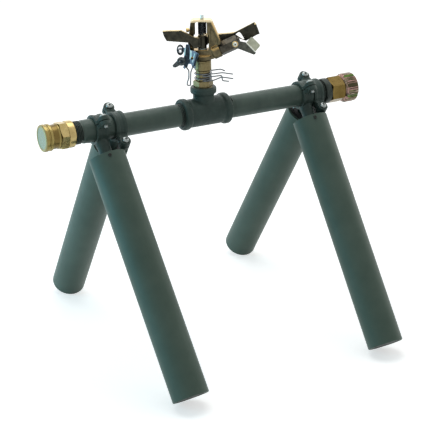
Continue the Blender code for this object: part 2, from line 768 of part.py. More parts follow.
def make_bearing(brass, steel, stand, head):
    """The fixed nipple in the tee, and the nut and spring that hold the head down on it."""
    seat = NIPPLE_SEAT_R
    lip = NIPPLE_TOP - NIPPLE_LIP_H
    profile = [
        (NIPPLE_BORE_R, NIPPLE_TOP),
        (NIPPLE_LIP_R, NIPPLE_TOP),
        (NIPPLE_LIP_R, lip),
        (NIPPLE_TUBE_R, lip),
        (NIPPLE_TUBE_R, NIPPLE_SEAT_TOP),
        (seat, NIPPLE_SEAT_TOP),
        (seat, NIPPLE_HEX_TOP - 2 * MM),
        (NIPPLE_THREAD_R, NIPPLE_HEX_BASE + 2 * MM),
        (NIPPLE_THREAD_R, BRANCH_TOP - NIPPLE_GRIP),
        (NIPPLE_BORE_R, BRANCH_TOP - NIPPLE_GRIP),
    ]
    nipple = turned("bearing_nipple", profile, stand, None, brass, 24)
    facing = Matrix.Rotation(HEAD_YAW + math.radians(6), 4, "Z")
    collar = hexagon_bar(
        "nipple_hexagon", NIPPLE_HEX_R, NIPPLE_HEX_BASE, NIPPLE_HEX_TOP, stand, facing
    )
    join(nipple, collar)
    cut(nipple, disc("nipple_bore", NIPPLE_BORE_R, 0, 80 * MM, stand, None, None, 24))

    top = BASE_BOTTOM - CLEAR
    low = NIPPLE_SEAT_TOP + CLEAR
    inner = BEARING_R - BEARING_WALL
    hole = NIPPLE_TUBE_R + CLEAR
    floor = low + BEARING_FLOOR
    shell = [
        (inner, top),
        (BEARING_R, top),
        (BEARING_R, low + 0.6 * MM),
        (BEARING_R - 0.6 * MM, low),
        (hole, low),
        (hole, floor),
        (inner, floor),
    ]
    turned("bearing_nut", shell, head, None, brass, 24)
    wire_r = BEARING_SPRING_WIRE / 2
    base = floor + CLEAR + wire_r
    turns = (lip - CLEAR - wire_r - base) / BEARING_SPRING_PITCH
    points = coil(BEARING_SPRING_R, BEARING_SPRING_PITCH, turns, base, 0, 9)
    wire("bearing_spring", points, BEARING_SPRING_WIRE, head, steel, 1)
    least_gap("bearing_spring", points, BEARING_SPRING_WIRE, 9)


def nozzle_frame():
    """Matrix of the nozzle's axis, which leaves the head's own axis at NOZZLE_ROOT."""
    direction = (math.cos(NOZZLE_RISE), 0, math.sin(NOZZLE_RISE))
    return turned_to((0, 0, NOZZLE_ROOT), direction, (0, 0, 1))


def make_head_body(bronze, brass, head):
    """The casting: bearing seat, bridge round the drive arm, and boss for the nozzle."""
    top = BRIDGE_TOP
    outline = [
        (8.5 * MM, top),
        (11.3 * MM, top - 1.4 * MM),
        (18.2 * MM, 91.7 * MM),
        (20.9 * MM, 84.6 * MM),
        (20.1 * MM, 68.2 * MM),
        (12.0 * MM, BASE_BOTTOM + 1.6 * MM),
        (-11.0 * MM, BASE_BOTTOM + 1.6 * MM),
        (-14.5 * MM, WINDOW_FLOOR - 3 * MM),
        (-16.5 * MM, 83.0 * MM),
        (-13.2 * MM, top - 3.4 * MM),
        (-12.1 * MM, top - 1.2 * MM),
        (-9.6 * MM, top),
    ]
    ceiling = top - BRIDGE_PLATE
    corner = 1.5 * MM
    window = [
        *arc((WINDOW_RIGHT - corner, ceiling - corner), corner, 0, 90, 2),
        *arc((WINDOW_LEFT + corner, ceiling - corner), corner, 90, 180, 2),
        (WINDOW_LEFT, WINDOW_FLOOR),
        (WINDOW_RIGHT, WINDOW_FLOOR),
    ]
    body = plate("sprinkler_body", [outline, window], BRIDGE_DEPTH, head, upright(0), bronze)
    base = [
        (0, BASE_TOP),
        (BASE_R - 1 * MM, BASE_TOP),
        (BASE_R, BASE_TOP - 1 * MM),
        (BASE_R, BASE_BOTTOM + 1.5 * MM),
        (BEARING_R, BASE_BOTTOM),
        (0, BASE_BOTTOM),
    ]
    join(body, turned("body_base", base, head, None, None, 24))
    axis = nozzle_frame()
    face = NOZZLE_START - CLEAR
    boss_low = face - NOZZLE_THREAD_LENGTH - 1.5 * MM
    boss_high = face + 1 * MM
    join(body, disc("body_boss", NOZZLE_BOSS_R, boss_low, boss_high, head, axis, None, 24))
    pivot = turned_to(TRIP_PIVOT, (0, -1, 0), (1, 0, 0))
    plate_back = TRIP_FRONT - TRIP_THICK - CLEAR
    stub = [
        (0, TRIP_FRONT + 1.2 * MM),
        (TRIP_PIVOT_R, TRIP_FRONT + 1.2 * MM),
        (TRIP_PIVOT_R, plate_back),
        (TRIP_BOSS_R, plate_back),
        (TRIP_BOSS_R, 3 * MM),
        (0, 3 * MM),
    ]
    join(body, turned("body_trip_stub", stub, head, pivot, None, 16))
    far = 40 * MM
    cut(body, disc("body_spot_face", NOZZLE_BOSS_R + 1 * MM, face, far, head, axis, None, 24))
    socket = NOZZLE_THREAD_R + CLEAR
    deep = NOZZLE_START - NOZZLE_THREAD_LENGTH - CLEAR
    past = far + 1 * MM
    bore = [(0, past), (socket, past), (socket, deep), (PASSAGE_R, deep), (PASSAGE_R, 0), (0, 0)]
    cut(body, turned("body_nozzle_bore", bore, head, axis, None, 20))
    inner = BEARING_R - BEARING_WALL
    cut(body, disc("body_cavity", inner, 50 * MM, CAVITY_TOP, head, None, None, 24))
    hole = PIN_R + CLEAR
    pin_low = WINDOW_FLOOR - PIN_SEAT - CLEAR
    cut(body, disc("body_pin_hole", hole, pin_low, 130 * MM, head, None, None, 12))
    peg = turned_to((0, 0, PEG_HEIGHT), (-1, 0, 0))
    cut(body, disc("body_peg_hole", PEG_R + CLEAR, 5 * MM, 30 * MM, head, peg, None, 12))

    slope = (13.2 * MM - 16.5 * MM) / (top - 3.4 * MM - 83.0 * MM)
    wall = 16.5 * MM + slope * (PEG_HEIGHT - PEG_HEAD_R - 83.0 * MM)
    inside = wall + CLEAR
    knob = [
        (0, inside + PEG_HEAD_W),
        (PEG_HEAD_R - 0.5 * MM, inside + PEG_HEAD_W),
        (PEG_HEAD_R, inside + PEG_HEAD_W - 0.5 * MM),
        (PEG_HEAD_R, inside),
        (PEG_R, inside),
        (PEG_R, -WINDOW_LEFT - 1.5 * MM),
        (0, -WINDOW_LEFT - 1.5 * MM),
    ]
    turned("spring_peg", knob, head, peg, brass, 12)


def make_nozzle(brass, head):
    """Screwed-in nozzle with a tapered water way."""
    axis = nozzle_frame()
    end = NOZZLE_START + NOZZLE_LENGTH
    nozzle = hexagon_bar("nozzle", NOZZLE_HEX_R, NOZZLE_START, end, head, axis, brass)
    tip = end + NOZZLE_TIP_LENGTH
    shank = [
        (0, tip),
        (NOZZLE_TIP_R - 0.6 * MM, tip),
        (NOZZLE_TIP_R, tip - 0.6 * MM),
        (NOZZLE_TIP_R, end - 2 * MM),
        (NOZZLE_THREAD_R, end - 4 * MM),
        (NOZZLE_THREAD_R, NOZZLE_START - NOZZLE_THREAD_LENGTH),
        (0, NOZZLE_START - NOZZLE_THREAD_LENGTH),
    ]
    join(nozzle, turned("nozzle_shank", shank, head, axis, None, 20))
    past = 1 * MM
    wide = PASSAGE_R
    low = NOZZLE_START - NOZZLE_THREAD_LENGTH - past
    way = [
        (0, tip + past),
        (NOZZLE_MOUTH_R, tip + past),
        (NOZZLE_MOUTH_R, tip - 4 * MM),
        (wide, low + 6 * MM),
        (wide, low),
        (0, low),
    ]
    cut(nozzle, turned("nozzle_way", way, head, axis, None, 12))
    flap_hole = flap_pivot_frame()
    depth = NOZZLE_FLAT - FLAP_SCREW_DEPTH - CLEAR
    cut(nozzle, disc("nozzle_screw_hole", FLAP_SCREW_R + CLEAR, depth, 20 * MM, head, flap_hole, None, 12))


def flap_pivot_frame():
    """Matrix of the flap's pivot: across the nozzle, pointing to the front of the head."""
    height = NOZZLE_ROOT + FLAP_PIVOT_X * math.tan(NOZZLE_RISE)
    return turned_to((FLAP_PIVOT_X, 0, height), (0, -1, 0), (1, 0, 0))


def make_flap(steel, brass, head):
    """Bent flap beside the jet; it turns on a screw in the nozzle's side."""
    pivot = flap_pivot_frame()
    turning = axis_empty("axis_deflector_flap", head, pivot)
    back = NOZZLE_FLAT + CLEAR
    middle = back + FLAP_THICK / 2
    web = [
        *arc((0, 0), FLAP_EYE_R, 60, 250, 7),
        (3.6 * MM, -5.6 * MM),
        (21.3 * MM, -12.9 * MM),
        (23.7 * MM, -10.4 * MM),
        (12.5 * MM, 1.6 * MM),
    ]
    outlines = [web, circle(FLAP_SCREW_R + CLEAR, 12)]
    place = Matrix.Translation((0, 0, middle))
    flap = plate("deflector_flap", outlines, FLAP_THICK, turning, place, steel)
    root = Vector((12.3 * MM, 1.3 * MM, middle))
    line = Vector((23.4, -10.4, 0)) - Vector((12.3, 1.3, 0))
    line.normalize()
    spread = line.cross(Vector((0, 0, 1)))
    spread = (-spread - Vector((0, 0, 1))).normalized()
    normal = line.cross(spread)
    turn = Matrix((line, spread, normal)).transposed().to_4x4()
    tab = block(
        "flap_tab",
        (0.4 * MM, -0.4 * MM, -FLAP_THICK / 2),
        (FLAP_TAB_LENGTH, FLAP_TAB_WIDTH, FLAP_THICK / 2),
        turning,
        Matrix.Translation(root) @ turn,
    )
    join(flap, tab)
    make_screw(
        "flap_screw",
        head,
        pivot @ Matrix.Translation((0, 0, back + FLAP_THICK + CLEAR)),
        brass,
        FLAP_SCREW_HEAD_R,
        FLAP_SCREW_HEAD_H,
        FLAP_SCREW_R,
        FLAP_THICK + FLAP_SCREW_DEPTH + 2 * CLEAR,
    )


def make_drive_arm(bronze, steel, nylon, head):
    """Arm that the jet drives: hub on the pin, counterweight in front, spoon behind."""
    turning = axis_empty("axis_drive_arm", head, Matrix())
    hub_low = WINDOW_FLOOR + ARM_WASHER_H + 2 * CLEAR
    arm = disc("drive_arm", HUB_R, hub_low, HUB_TOP, turning, None, bronze, 20)
    near = ARM_CLEAR_Y
    middle = near + ARM_THICK / 2
    weight = [
        (-45.2 * MM, 98.9 * MM),
        (-40.6 * MM, 87.4 * MM),
        (-14.0 * MM, 84.9 * MM),
        (-9.4 * MM, 78.4 * MM),
        (-5.6 * MM, 78.4 * MM),
        (-4.6 * MM, 79.4 * MM),
        (-4.6 * MM, 89.6 * MM),
        (-11.4 * MM, 92.2 * MM),
        (-23.8 * MM, 99.4 * MM),
    ]
    front = plate("arm_weight", [weight], ARM_THICK, turning, upright(-middle))
    web_low = (WINDOW_LEFT + 0.5 * MM, -middle, 79.2 * MM)
    web = block("arm_front_web", web_low, (-2.4 * MM, 0, 89.4 * MM), turning)
    bar = [
        (1.0 * MM, 90.2 * MM),
        (1.0 * MM, 78.4 * MM),
        (6.0 * MM, 78.4 * MM),
        (24.0 * MM, 83.0 * MM),
        (38.0 * MM, 86.6 * MM),
        (38.0 * MM, 91.4 * MM),
        (33.0 * MM, 90.6 * MM),
        (19.0 * MM, 89.8 * MM),
    ]
    back = plate("arm_bar", [bar], ARM_THICK, turning, upright(middle))
    rear = block("arm_rear_web", (2.0 * MM, 0, 79.2 * MM), (6.4 * MM, middle, 89.0 * MM), turning)
    side = [
        (33.0 * MM, 87.5 * MM),
        (42.0 * MM, 84.5 * MM),
        (50.4 * MM, 81.3 * MM),
        (65.4 * MM, 89.3 * MM),
        (60.4 * MM, 103.3 * MM),
        (36.0 * MM, 91.0 * MM),
    ]
    hole = [(38.5 * MM, 89.0 * MM), (42.9 * MM, 91.3 * MM), (48.0 * MM, 83.9 * MM)]
    spoon_y = near + SPOON_THICK / 2
    spoon = plate("arm_spoon", [side, hole], SPOON_THICK, turning, upright(spoon_y))
    edge = Vector((5.0, 0, -14.0)).normalized()
    face = turned_to((60.4 * MM, 0, 102.0 * MM), (0, 1, 0), edge)
    vane = block(
        "arm_vane",
        (0, -SPOON_THICK, 0),
        (12.4 * MM, 0.4 * MM, near + 0.7 * SPOON_THICK),
        turning,
        face,
    )
    join(arm, front, web, back, rear, spoon, vane)
    cut(arm, disc("arm_bore", PIN_R + CLEAR, 60 * MM, 120 * MM, turning, None, None, 12))
    peg_axis = turned_to((0, 0, PEG_HEIGHT), (-1, 0, 0))
    peg_end = -WINDOW_LEFT - 1.5 * MM - CLEAR
    cut(arm, disc("arm_peg_relief", PEG_R + CLEAR, peg_end, 30 * MM, turning, peg_axis, None, 12))

    washer_low = WINDOW_FLOOR + CLEAR
    washer_high = washer_low + ARM_WASHER_H
    hole_r = PIN_R + CLEAR
    ring = [(hole_r, washer_high), (ARM_WASHER_R, washer_high), (ARM_WASHER_R, washer_low)]
    turned("arm_washer", [*ring, (hole_r, washer_low)], head, None, nylon, 16)

    pin_low = WINDOW_FLOOR - PIN_SEAT
    head_low = BRIDGE_TOP + CLEAR
    pin_top = head_low + PIN_HEAD_H
    pin = [
        (0, pin_top),
        (PIN_HEAD_R - 0.6 * MM, pin_top),
        (PIN_HEAD_R, pin_top - 0.6 * MM),
        (PIN_HEAD_R, head_low),
        (PIN_R, head_low),
        (PIN_R, pin_low),
        (0, pin_low),
    ]
    turned("fulcrum_pin", pin, head, None, steel, 12)

    wire_r = ARM_SPRING_WIRE / 2
    base = HUB_TOP + CLEAR + wire_r
    ceiling = BRIDGE_TOP - BRIDGE_PLATE - CLEAR - wire_r
    turns = (ceiling - base) / ARM_SPRING_PITCH
    points = coil(ARM_SPRING_R, ARM_SPRING_PITCH, turns, base, math.pi / 2)
    wire("arm_spring", points, ARM_SPRING_WIRE, head, steel, 1)
    least_gap("arm_spring", points, ARM_SPRING_WIRE, 10)


def make_trip(chrome, zinc, steel, head):
    """Trip lever on the casting's stub, with its hammer, spring and hanging wire."""
    lever_axis = axis_empty("axis_trip_lever", head, turned_to(TRIP_PIVOT, (0, -1, 0), (1, 0, 0)))
    hang = Matrix.Translation(-TRIP_PIVOT)
    flat = turned_to(TRIP_PIVOT, (0, -1, 0), (1, 0, 0)).inverted()
    middle = -(TRIP_FRONT - TRIP_THICK / 2)
    outline = [
        (TRIP_PEG.x, TRIP_PEG.z + 3.4 * MM),
        (TRIP_PEG.x - 3.4 * MM, TRIP_PEG.z),
        (TRIP_PEG.x, TRIP_PEG.z - 3.4 * MM),
        (-20.6 * MM, 74.4 * MM),
        (-21.4 * MM, 68.0 * MM),
        (-26.0 * MM, 66.4 * MM),
        (-26.0 * MM, 62.0 * MM),
        (-21.8 * MM, 60.8 * MM),
        (-21.8 * MM, 55.2 * MM),
        (-18.0 * MM, 55.2 * MM),
        (-16.4 * MM, 60.0 * MM),
        (-13.2 * MM, 60.0 * MM),
        (-12.0 * MM, 55.2 * MM),
        (-8.4 * MM, 55.2 * MM),
        (-8.4 * MM, 58.0 * MM),
        (-4.2 * MM, 71.8 * MM),
        (-6.3 * MM, 73.6 * MM),
        (-14.2 * MM, 76.8 * MM),
        (-15.2 * MM, 83.2 * MM),
        (-18.9 * MM, 83.2 * MM),
        (-19.2 * MM, 79.4 * MM),
    ]
    hole = circle(TRIP_PIVOT_R + CLEAR, 12, (TRIP_PIVOT.x, TRIP_PIVOT.z))
    lever = plate("trip_lever", [outline, hole], TRIP_THICK, lever_axis, flat @ upright(middle), chrome)
    peg_low = TRIP_FRONT - TRIP_THICK / 2
    peg_high = TRIP_FRONT + 5.5 * MM
    peg = turned_to(TRIP_PEG, (0, -1, 0), (1, 0, 0))
    join(lever, disc("lever_peg", TRIP_PEG_R, peg_low, peg_high, lever_axis, flat @ peg, None, 12))
    pin = turned_to(HAMMER_AXIS, (0, -1, 0), (1, 0, 0))
    pin_high = TRIP_FRONT + CLEAR + HAMMER_W + 0.8 * MM
    join(lever, disc("lever_hammer_pin", HAMMER_PIN_R, peg_low, pin_high, lever_axis, flat @ pin, None, 12))
    front = TRIP_WIRE_AXIS.y - 1.9 * MM
    back = -TRIP_FRONT + TRIP_THICK / 2
    low = TRIP_WIRE_AXIS.z - 1.8 * MM
    high = TRIP_WIRE_AXIS.z + 1.8 * MM
    eye = Matrix.Rotation(math.radians(90), 4, "Y")
    for i, (left, right) in enumerate(((-21.8, -20.5), (-9.7, -8.4))):
        ear = block(f"lever_ear_{i}", (left * MM, front, low), (right * MM, back, high), lever_axis, flat)
        join(lever, ear)
    shaft = flat @ Matrix.Translation(TRIP_WIRE_AXIS) @ eye
    cut(lever, disc("lever_eyes", TRIP_WIRE / 2 + CLEAR, -30 * MM, 0, lever_axis, shaft, None, 10))

    hammer_axis = axis_empty("axis_trip_hammer", lever_axis, flat @ pin)
    low = TRIP_FRONT + CLEAR
    high = low + HAMMER_W
    inner = HAMMER_PIN_R + CLEAR
    knob = [
        (inner, high),
        (HAMMER_R - 0.8 * MM, high),
        (HAMMER_R, high - 0.8 * MM),
        (HAMMER_R, low + 0.4 * MM),
        (HAMMER_R - 0.4 * MM, low),
        (inner, low),
    ]
    hammer = turned("trip_hammer", knob, hammer_axis, None, zinc, 20)
    tongue = [
        (-3.0 * MM, 2.6 * MM),
        (-10.2 * MM, -4.6 * MM),
        (-9.6 * MM, -7.0 * MM),
        (-6.4 * MM, -7.2 * MM),
        (0.5 * MM, -3.6 * MM),
    ]
    place = Matrix.Translation((0, 0, low + 1.4 * MM))
    join(hammer, plate("hammer_tongue", [tongue], 1.6 * MM, hammer_axis, place))
    cut(hammer, disc("hammer_bore", inner, 0, 30 * MM, hammer_axis, None, None, 12))

    base = TRIP_FRONT + CLEAR + TRIP_SPRING_WIRE / 2
    points = coil(TRIP_SPRING_R, TRIP_SPRING_PITCH, 2.5, base, 0)
    turn = flat @ peg
    points = [turn @ p for p in points]
    wire("trip_spring", points, TRIP_SPRING_WIRE, lever_axis, steel, 1)
    least_gap("trip_spring", points, TRIP_SPRING_WIRE, 10)

    wire_axis = axis_empty("axis_trip_wire", lever_axis, flat @ Matrix.Translation(TRIP_WIRE_AXIS))
    drop = TRIP_WIRE_AXIS.z
    path = [
        (-22.6 * MM, 57.0 * MM),
        (-18.9 * MM, 57.0 * MM),
        (-16.1 * MM, 53.0 * MM),
        (-16.3 * MM, 44.0 * MM),
        (-18.3 * MM, 38.6 * MM),
        (-18.3 * MM, 35.6 * MM),
        (-14.6 * MM, 35.0 * MM),
        (-14.3 * MM, 42.0 * MM),
        (-13.9 * MM, 51.0 * MM),
        (-11.6 * MM, 57.0 * MM),
        (-7.6 * MM, 57.0 * MM),
    ]
    points = bent([(x, 0, z - drop) for x, z in path], 1.5 * MM)
    wire("trip_wire", points, TRIP_WIRE, wire_axis, steel, 2)


def make_collar(name, base, arms, start, end, parent, steel):
    """Friction collar of spring wire: a coil on the nipple whose two ends stand out as arms."""
    steps = COLLAR_STEPS
    radius = COLLAR_R_MEAN
    turn = end - start
    count = round(turn / math.tau * steps)
    winding = [
        Vector((
            radius * math.cos(start + turn * i / count),
            radius * math.sin(start + turn * i / count),
            base + COLLAR_PITCH * turn / math.tau * i / count,
        ))
        for i in range(count + 1)
    ]
    first, last = arms
    path = [*reversed([Vector(p) for p in bent(first, 2 * MM)]), *winding, *bent(last, 2 * MM)]
    wire(name, path, COLLAR_WIRE, parent, steel, 1)
    least_gap(name, winding, COLLAR_WIRE, steps)


def make_collars(steel, stand):
    """The two collars whose arms the trip wire strikes, set side by side."""
    lower_axis = axis_empty("axis_lower_collar", stand, Matrix.Rotation(HEAD_YAW, 4, "Z"))
    upper_axis = axis_empty("axis_upper_collar", lower_axis, Matrix())
    radius = COLLAR_R_MEAN
    rise = COLLAR_PITCH * COLLAR_TURNS
    start = -math.pi / 2
    end = start + math.tau * COLLAR_TURNS
    base = NIPPLE_HEX_TOP + CLEAR + COLLAR_WIRE / 2
    top = base + rise
    front = [
        (3 * MM, -radius - 0.2 * MM, base),
        (11.5 * MM, -radius - 0.2 * MM, base + 0.4 * MM),
        (21.5 * MM, -radius - 0.2 * MM, base + 4.4 * MM),
        (35.0 * MM, -radius - 0.2 * MM, base + 2.3 * MM),
    ]
    back = [
        (3 * MM, radius + 0.2 * MM, top),
        (12 * MM, radius + 0.4 * MM, top),
        (22.5 * MM, radius + 0.4 * MM, top + 1.2 * MM),
        (35.0 * MM, radius + 0.4 * MM, top - 0.8 * MM),
    ]
    make_collar("lower_collar", base, (front, back), start, end, lower_axis, steel)

    base = top + COLLAR_WIRE + 0.6 * MM
    top = base + rise
    outer = radius + COLLAR_WIRE + CLEAR
    front = [
        (3 * MM, -radius - 0.4 * MM, base),
        (12 * MM, -outer - 0.4 * MM, base + 0.6 * MM),
        (21.8 * MM, -outer - 0.4 * MM, base + 1.6 * MM),
        (22.3 * MM, -outer - 0.4 * MM, base - 4.6 * MM),
        (30.0 * MM, -outer - 0.4 * MM, base - 5.6 * MM),
    ]
    back = [
        (3 * MM, radius + 0.2 * MM, top),
        (10 * MM, radius - 0.4 * MM, top - 0.8 * MM),
        (20.9 * MM, radius - 0.4 * MM, top + 0.4 * MM),
        (25.6 * MM, radius - 0.4 * MM, top - 1.8 * MM),
    ]
    make_collar("upper_collar", base, (front, back), start, end, upper_axis, steel)


def print_axes():
    """Prints where each joint's axis lies, in metres, and the local axes of its empty."""
    bpy.context.view_layer.update()
    for obj in PARTS.objects:
        if obj.type == "EMPTY":
            place = [round(v, 6) for v in obj.matrix_world.translation]
            across = [round(v, 6) for v in obj.matrix_world.col[0][:3]]
            along = [round(v, 6) for v in obj.matrix_world.col[2][:3]]
            print("axis", obj.name, place, across, along)


def main():
    start_scene()
    steel = finish("pipe_paint", (0.060, 0.085, 0.076), 0.55, 0.0)
    leg_steel = finish("leg_paint", (0.085, 0.135, 0.120), 0.5, 0.0)
    iron = finish("malleable_iron", (0.050, 0.075, 0.066), 0.6, 0.2)
    plug = finish("plug_black", (0.02, 0.025, 0.025), 0.7, 0.0)
    zinc = finish("zinc_screw", (0.62, 0.64, 0.62), 0.3, 1.0)
    dark = finish("dark_screw", (0.05, 0.05, 0.05), 0.5, 0.8)
    brass = finish("polished_brass", (0.72, 0.52, 0.20), 0.25, 1.0)
    satin_brass = finish("satin_brass", (0.36, 0.27, 0.09), 0.4, 1.0)
    nut_brass = finish("chromated_brass", (0.55, 0.45, 0.25), 0.3, 1.0)
    rubber = finish("black_rubber", (0.02, 0.02, 0.02), 0.8, 0.0)
    bronze = finish("cast_bronze", (0.40, 0.26, 0.10), 0.35, 1.0)
    arm_bronze = finish("arm_bronze", (0.14, 0.11, 0.07), 0.4, 1.0)
    spring = finish("spring_steel", (0.25, 0.25, 0.26), 0.35, 1.0)
    chrome = finish("bright_chrome", (0.70, 0.75, 0.80), 0.15, 1.0)
    nylon = finish("nylon", (0.75, 0.80, 0.78), 0.5, 0.0)

    stand = axis_empty("pipe_axis", None, Matrix.Translation((TEE_X, 0, PIPE_HEIGHT)))
    head = axis_empty("axis_head", stand, Matrix.Rotation(HEAD_YAW, 4, "Z"))
    make_pipes(steel, stand)
    make_tee(iron, stand)
    make_outlet(brass, rubber, stand)
    make_inlet(iron, satin_brass, nut_brass, rubber, stand)
    for name, (side, along, lean) in LEGS.items():
        make_leg(name, side, along, lean, leg_steel, iron, plug, zinc, dark, stand)
    make_bearing(brass, spring, stand, head)
    make_head_body(bronze, brass, head)
    make_nozzle(brass, head)
    make_flap(chrome, brass, head)
    make_drive_arm(arm_bronze, spring, nylon, head)
    make_trip(chrome, zinc, spring, head)
    make_collars(spring, stand)
    print_axes()


main()
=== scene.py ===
import math

import bpy
from mathutils import Matrix, Vector


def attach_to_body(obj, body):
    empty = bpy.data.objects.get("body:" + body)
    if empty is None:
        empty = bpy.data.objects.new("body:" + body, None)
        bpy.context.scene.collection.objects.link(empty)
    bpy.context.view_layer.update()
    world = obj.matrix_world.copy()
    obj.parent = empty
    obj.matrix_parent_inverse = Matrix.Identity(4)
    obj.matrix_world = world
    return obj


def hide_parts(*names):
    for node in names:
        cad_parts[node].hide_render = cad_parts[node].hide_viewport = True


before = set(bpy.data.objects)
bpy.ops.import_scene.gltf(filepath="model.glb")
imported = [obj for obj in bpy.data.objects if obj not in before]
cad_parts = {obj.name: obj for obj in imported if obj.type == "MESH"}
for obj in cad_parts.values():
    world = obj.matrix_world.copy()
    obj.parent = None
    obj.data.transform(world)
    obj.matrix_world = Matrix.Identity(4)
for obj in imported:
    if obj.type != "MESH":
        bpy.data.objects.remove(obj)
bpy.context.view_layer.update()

# Water pipe
# Two lengths of steel pipe with taper threads cut at both ends. They are screwed into the
# tee and the end fittings, and brushed with the same grey-green paint as the fittings.

MM = 0.001
PIPE_X = -1.9
PIPE_Z = 271.999
PIPE_R = 13.335
PIPE_BORE = 10.465
THREAD_DEPTH = 0.95
THREAD_PITCH = 1.81
THREAD_FADE = 2.4
TEE_THREAD_END = 35.0
OUTER_THREAD_START = 157.5
WELD = 0.001


def rest():
    """Object mode with nothing selected, so the next operator acts on its own piece."""
    if bpy.context.object and bpy.context.object.mode != "OBJECT":
        bpy.ops.object.mode_set(mode="OBJECT")
    bpy.ops.object.select_all(action="DESELECT")


def hold(piece):
    """Makes the piece the one that the next operator acts on."""
    rest()
    bpy.context.view_layer.objects.active = piece
    piece.select_set(True)
    return piece


def named(name):
    """Names the piece that an operator has just added."""
    piece = bpy.context.object
    piece.name = piece.data.name = name
    return piece


def shift(x, y, z):
    """Matrix that moves by millimetres."""
    return Matrix.Translation((x * MM, y * MM, z * MM))


def aim(origin, z, x=(0, 0, 1)):
    """Matrix at a place in millimetres, its Z along z and its X as near to x as it can be."""
    z = Vector(z).normalized()
    x = Vector(x)
    x = (x - z * x.dot(z)).normalized()
    turn = Matrix((x, z.cross(x), z)).transposed().to_4x4()
    return Matrix.Translation(Vector(origin) * MM) @ turn


def place(piece, matrix):
    """Moves the mesh to its place in the frame; the object stays at the origin."""
    hold(piece).matrix_world = matrix
    bpy.ops.object.transform_apply(location=True, rotation=True, scale=True)
    return piece


def apply(piece, kind, **settings):
    """Adds a modifier with these settings and applies it."""
    modifier = hold(piece).modifiers.new(kind.lower(), kind)
    for key, value in settings.items():
        setattr(modifier, key, value)
    bpy.ops.object.modifier_apply(modifier=modifier.name)
    return piece


def lathe(name, rings, sides=96):
    """Extrudes a circle from ring to ring, each a radius and a height along Z in millimetres.
    A profile that ends on its first ring is a tube; any other gets flat ends."""
    rest()
    radius, height = rings[0]
    bpy.ops.mesh.primitive_circle_add(vertices=sides, radius=radius * MM, location=(0, 0, height * MM))
    piece = named(name)
    bpy.ops.object.transform_apply(location=True, rotation=True, scale=True)
    bpy.ops.object.mode_set(mode="EDIT")
    bpy.ops.mesh.select_all(action="SELECT")
    for wide, high in rings[1:]:
        bpy.ops.mesh.extrude_region_move(TRANSFORM_OT_translate={"value": (0, 0, (high - height) * MM)})
        bpy.ops.transform.resize(value=(wide / radius, wide / radius, 1), center_override=(0, 0, 0))
        radius, height = wide, high
    bpy.ops.mesh.select_all(action="SELECT")
    if rings[0] == rings[-1]:
        bpy.ops.mesh.remove_doubles(threshold=WELD * MM)
    else:
        bpy.ops.mesh.fill_holes(sides=0)
    bpy.ops.mesh.normals_make_consistent(inside=False)
    bpy.ops.object.mode_set(mode="OBJECT")
    return piece


def draw(name, points):
    """Extrudes one vertex from point to point, in millimetres, and leaves edit mode open."""
    rest()
    bpy.ops.mesh.primitive_plane_add(size=MM)
    piece = named(name)
    bpy.ops.object.mode_set(mode="EDIT")
    bpy.ops.mesh.select_all(action="SELECT")
    bpy.ops.mesh.merge(type="CENTER")
    bpy.ops.transform.translate(value=Vector(points[0]) * MM)
    for start, end in zip(points, points[1:]):
        step = (Vector(end) - Vector(start)) * MM
        bpy.ops.mesh.extrude_region_move(TRANSFORM_OT_translate={"value": step})
    return piece


def close_ends(piece):
    """Fills the open ends and points the faces outwards."""
    hold(piece)
    bpy.ops.object.mode_set(mode="EDIT")
    bpy.ops.mesh.select_all(action="SELECT")
    bpy.ops.mesh.remove_doubles(threshold=WELD * MM)
    bpy.ops.mesh.fill_holes(sides=0)
    bpy.ops.mesh.normals_make_consistent(inside=False)
    bpy.ops.object.mode_set(mode="OBJECT")
    return piece


def thread(name, root, crest, pitch, low, high, steps=48):
    """A ridge wound along Z, from height low to high: a screw thread without its core."""
    half = 0.44 * pitch
    flat = 0.08 * pitch
    foot = low + half
    profile = ((root, -half), (crest, -flat), (crest, flat), (root, half))
    piece = draw(name, [(radius, 0, foot + rise) for radius, rise in profile])
    bpy.ops.mesh.select_all(action="SELECT")
    bpy.ops.mesh.edge_face_add()
    bpy.ops.mesh.delete(type="ONLY_FACE")
    bpy.ops.object.mode_set(mode="OBJECT")
    turns = (high - low - 2 * half) / pitch
    count = round(turns * steps)
    apply(
        piece, "SCREW", axis="Z", angle=math.tau * turns, screw_offset=pitch * MM * turns,
        steps=count, render_steps=count, use_normal_calculate=True,
    )
    return close_ends(piece)


def joined(piece, *others):
    """Makes the other meshes part of this one."""
    hold(piece)
    for other in others:
        other.select_set(True)
    bpy.ops.object.join()
    return piece


def smooth(piece, angle=38):
    """Smooth shading, with an edge kept where the surface turns by more than the angle."""
    hold(piece)
    bpy.ops.object.shade_smooth_by_angle(angle=math.radians(angle))
    return apply(piece, "WEIGHTED_NORMAL", keep_sharp=True)


def srgb(red, green, blue):
    """Opaque linear colour of a screen colour."""
    levels = [v / 255 for v in (red, green, blue)]
    return [*(v / 12.92 if v <= 0.04045 else ((v + 0.055) / 1.055) ** 2.4 for v in levels), 1]


def node(material, kind, **inputs):
    """Adds a node and sets its inputs; a socket is linked and a value is set."""
    made = material.node_tree.nodes.new(kind)
    for name, value in inputs.items():
        socket = made.inputs[name.replace("_", " ")]
        if isinstance(value, bpy.types.NodeSocket):
            material.node_tree.links.new(value, socket)
        else:
            socket.default_value = value
    return made


def spots(material, scale, detail, stretch=(1, 1, 1)):
    """Noise on the piece's own coordinates; scale is in spots per metre."""
    where = node(material, "ShaderNodeTexCoord").outputs["Object"]
    stretched = node(material, "ShaderNodeMapping", Vector=where, Scale=stretch).outputs["Vector"]
    settings = {"Scale": scale, "Detail": detail, "Roughness": 0.55}
    return node(material, "ShaderNodeTexNoise", Vector=stretched, **settings).outputs["Fac"]


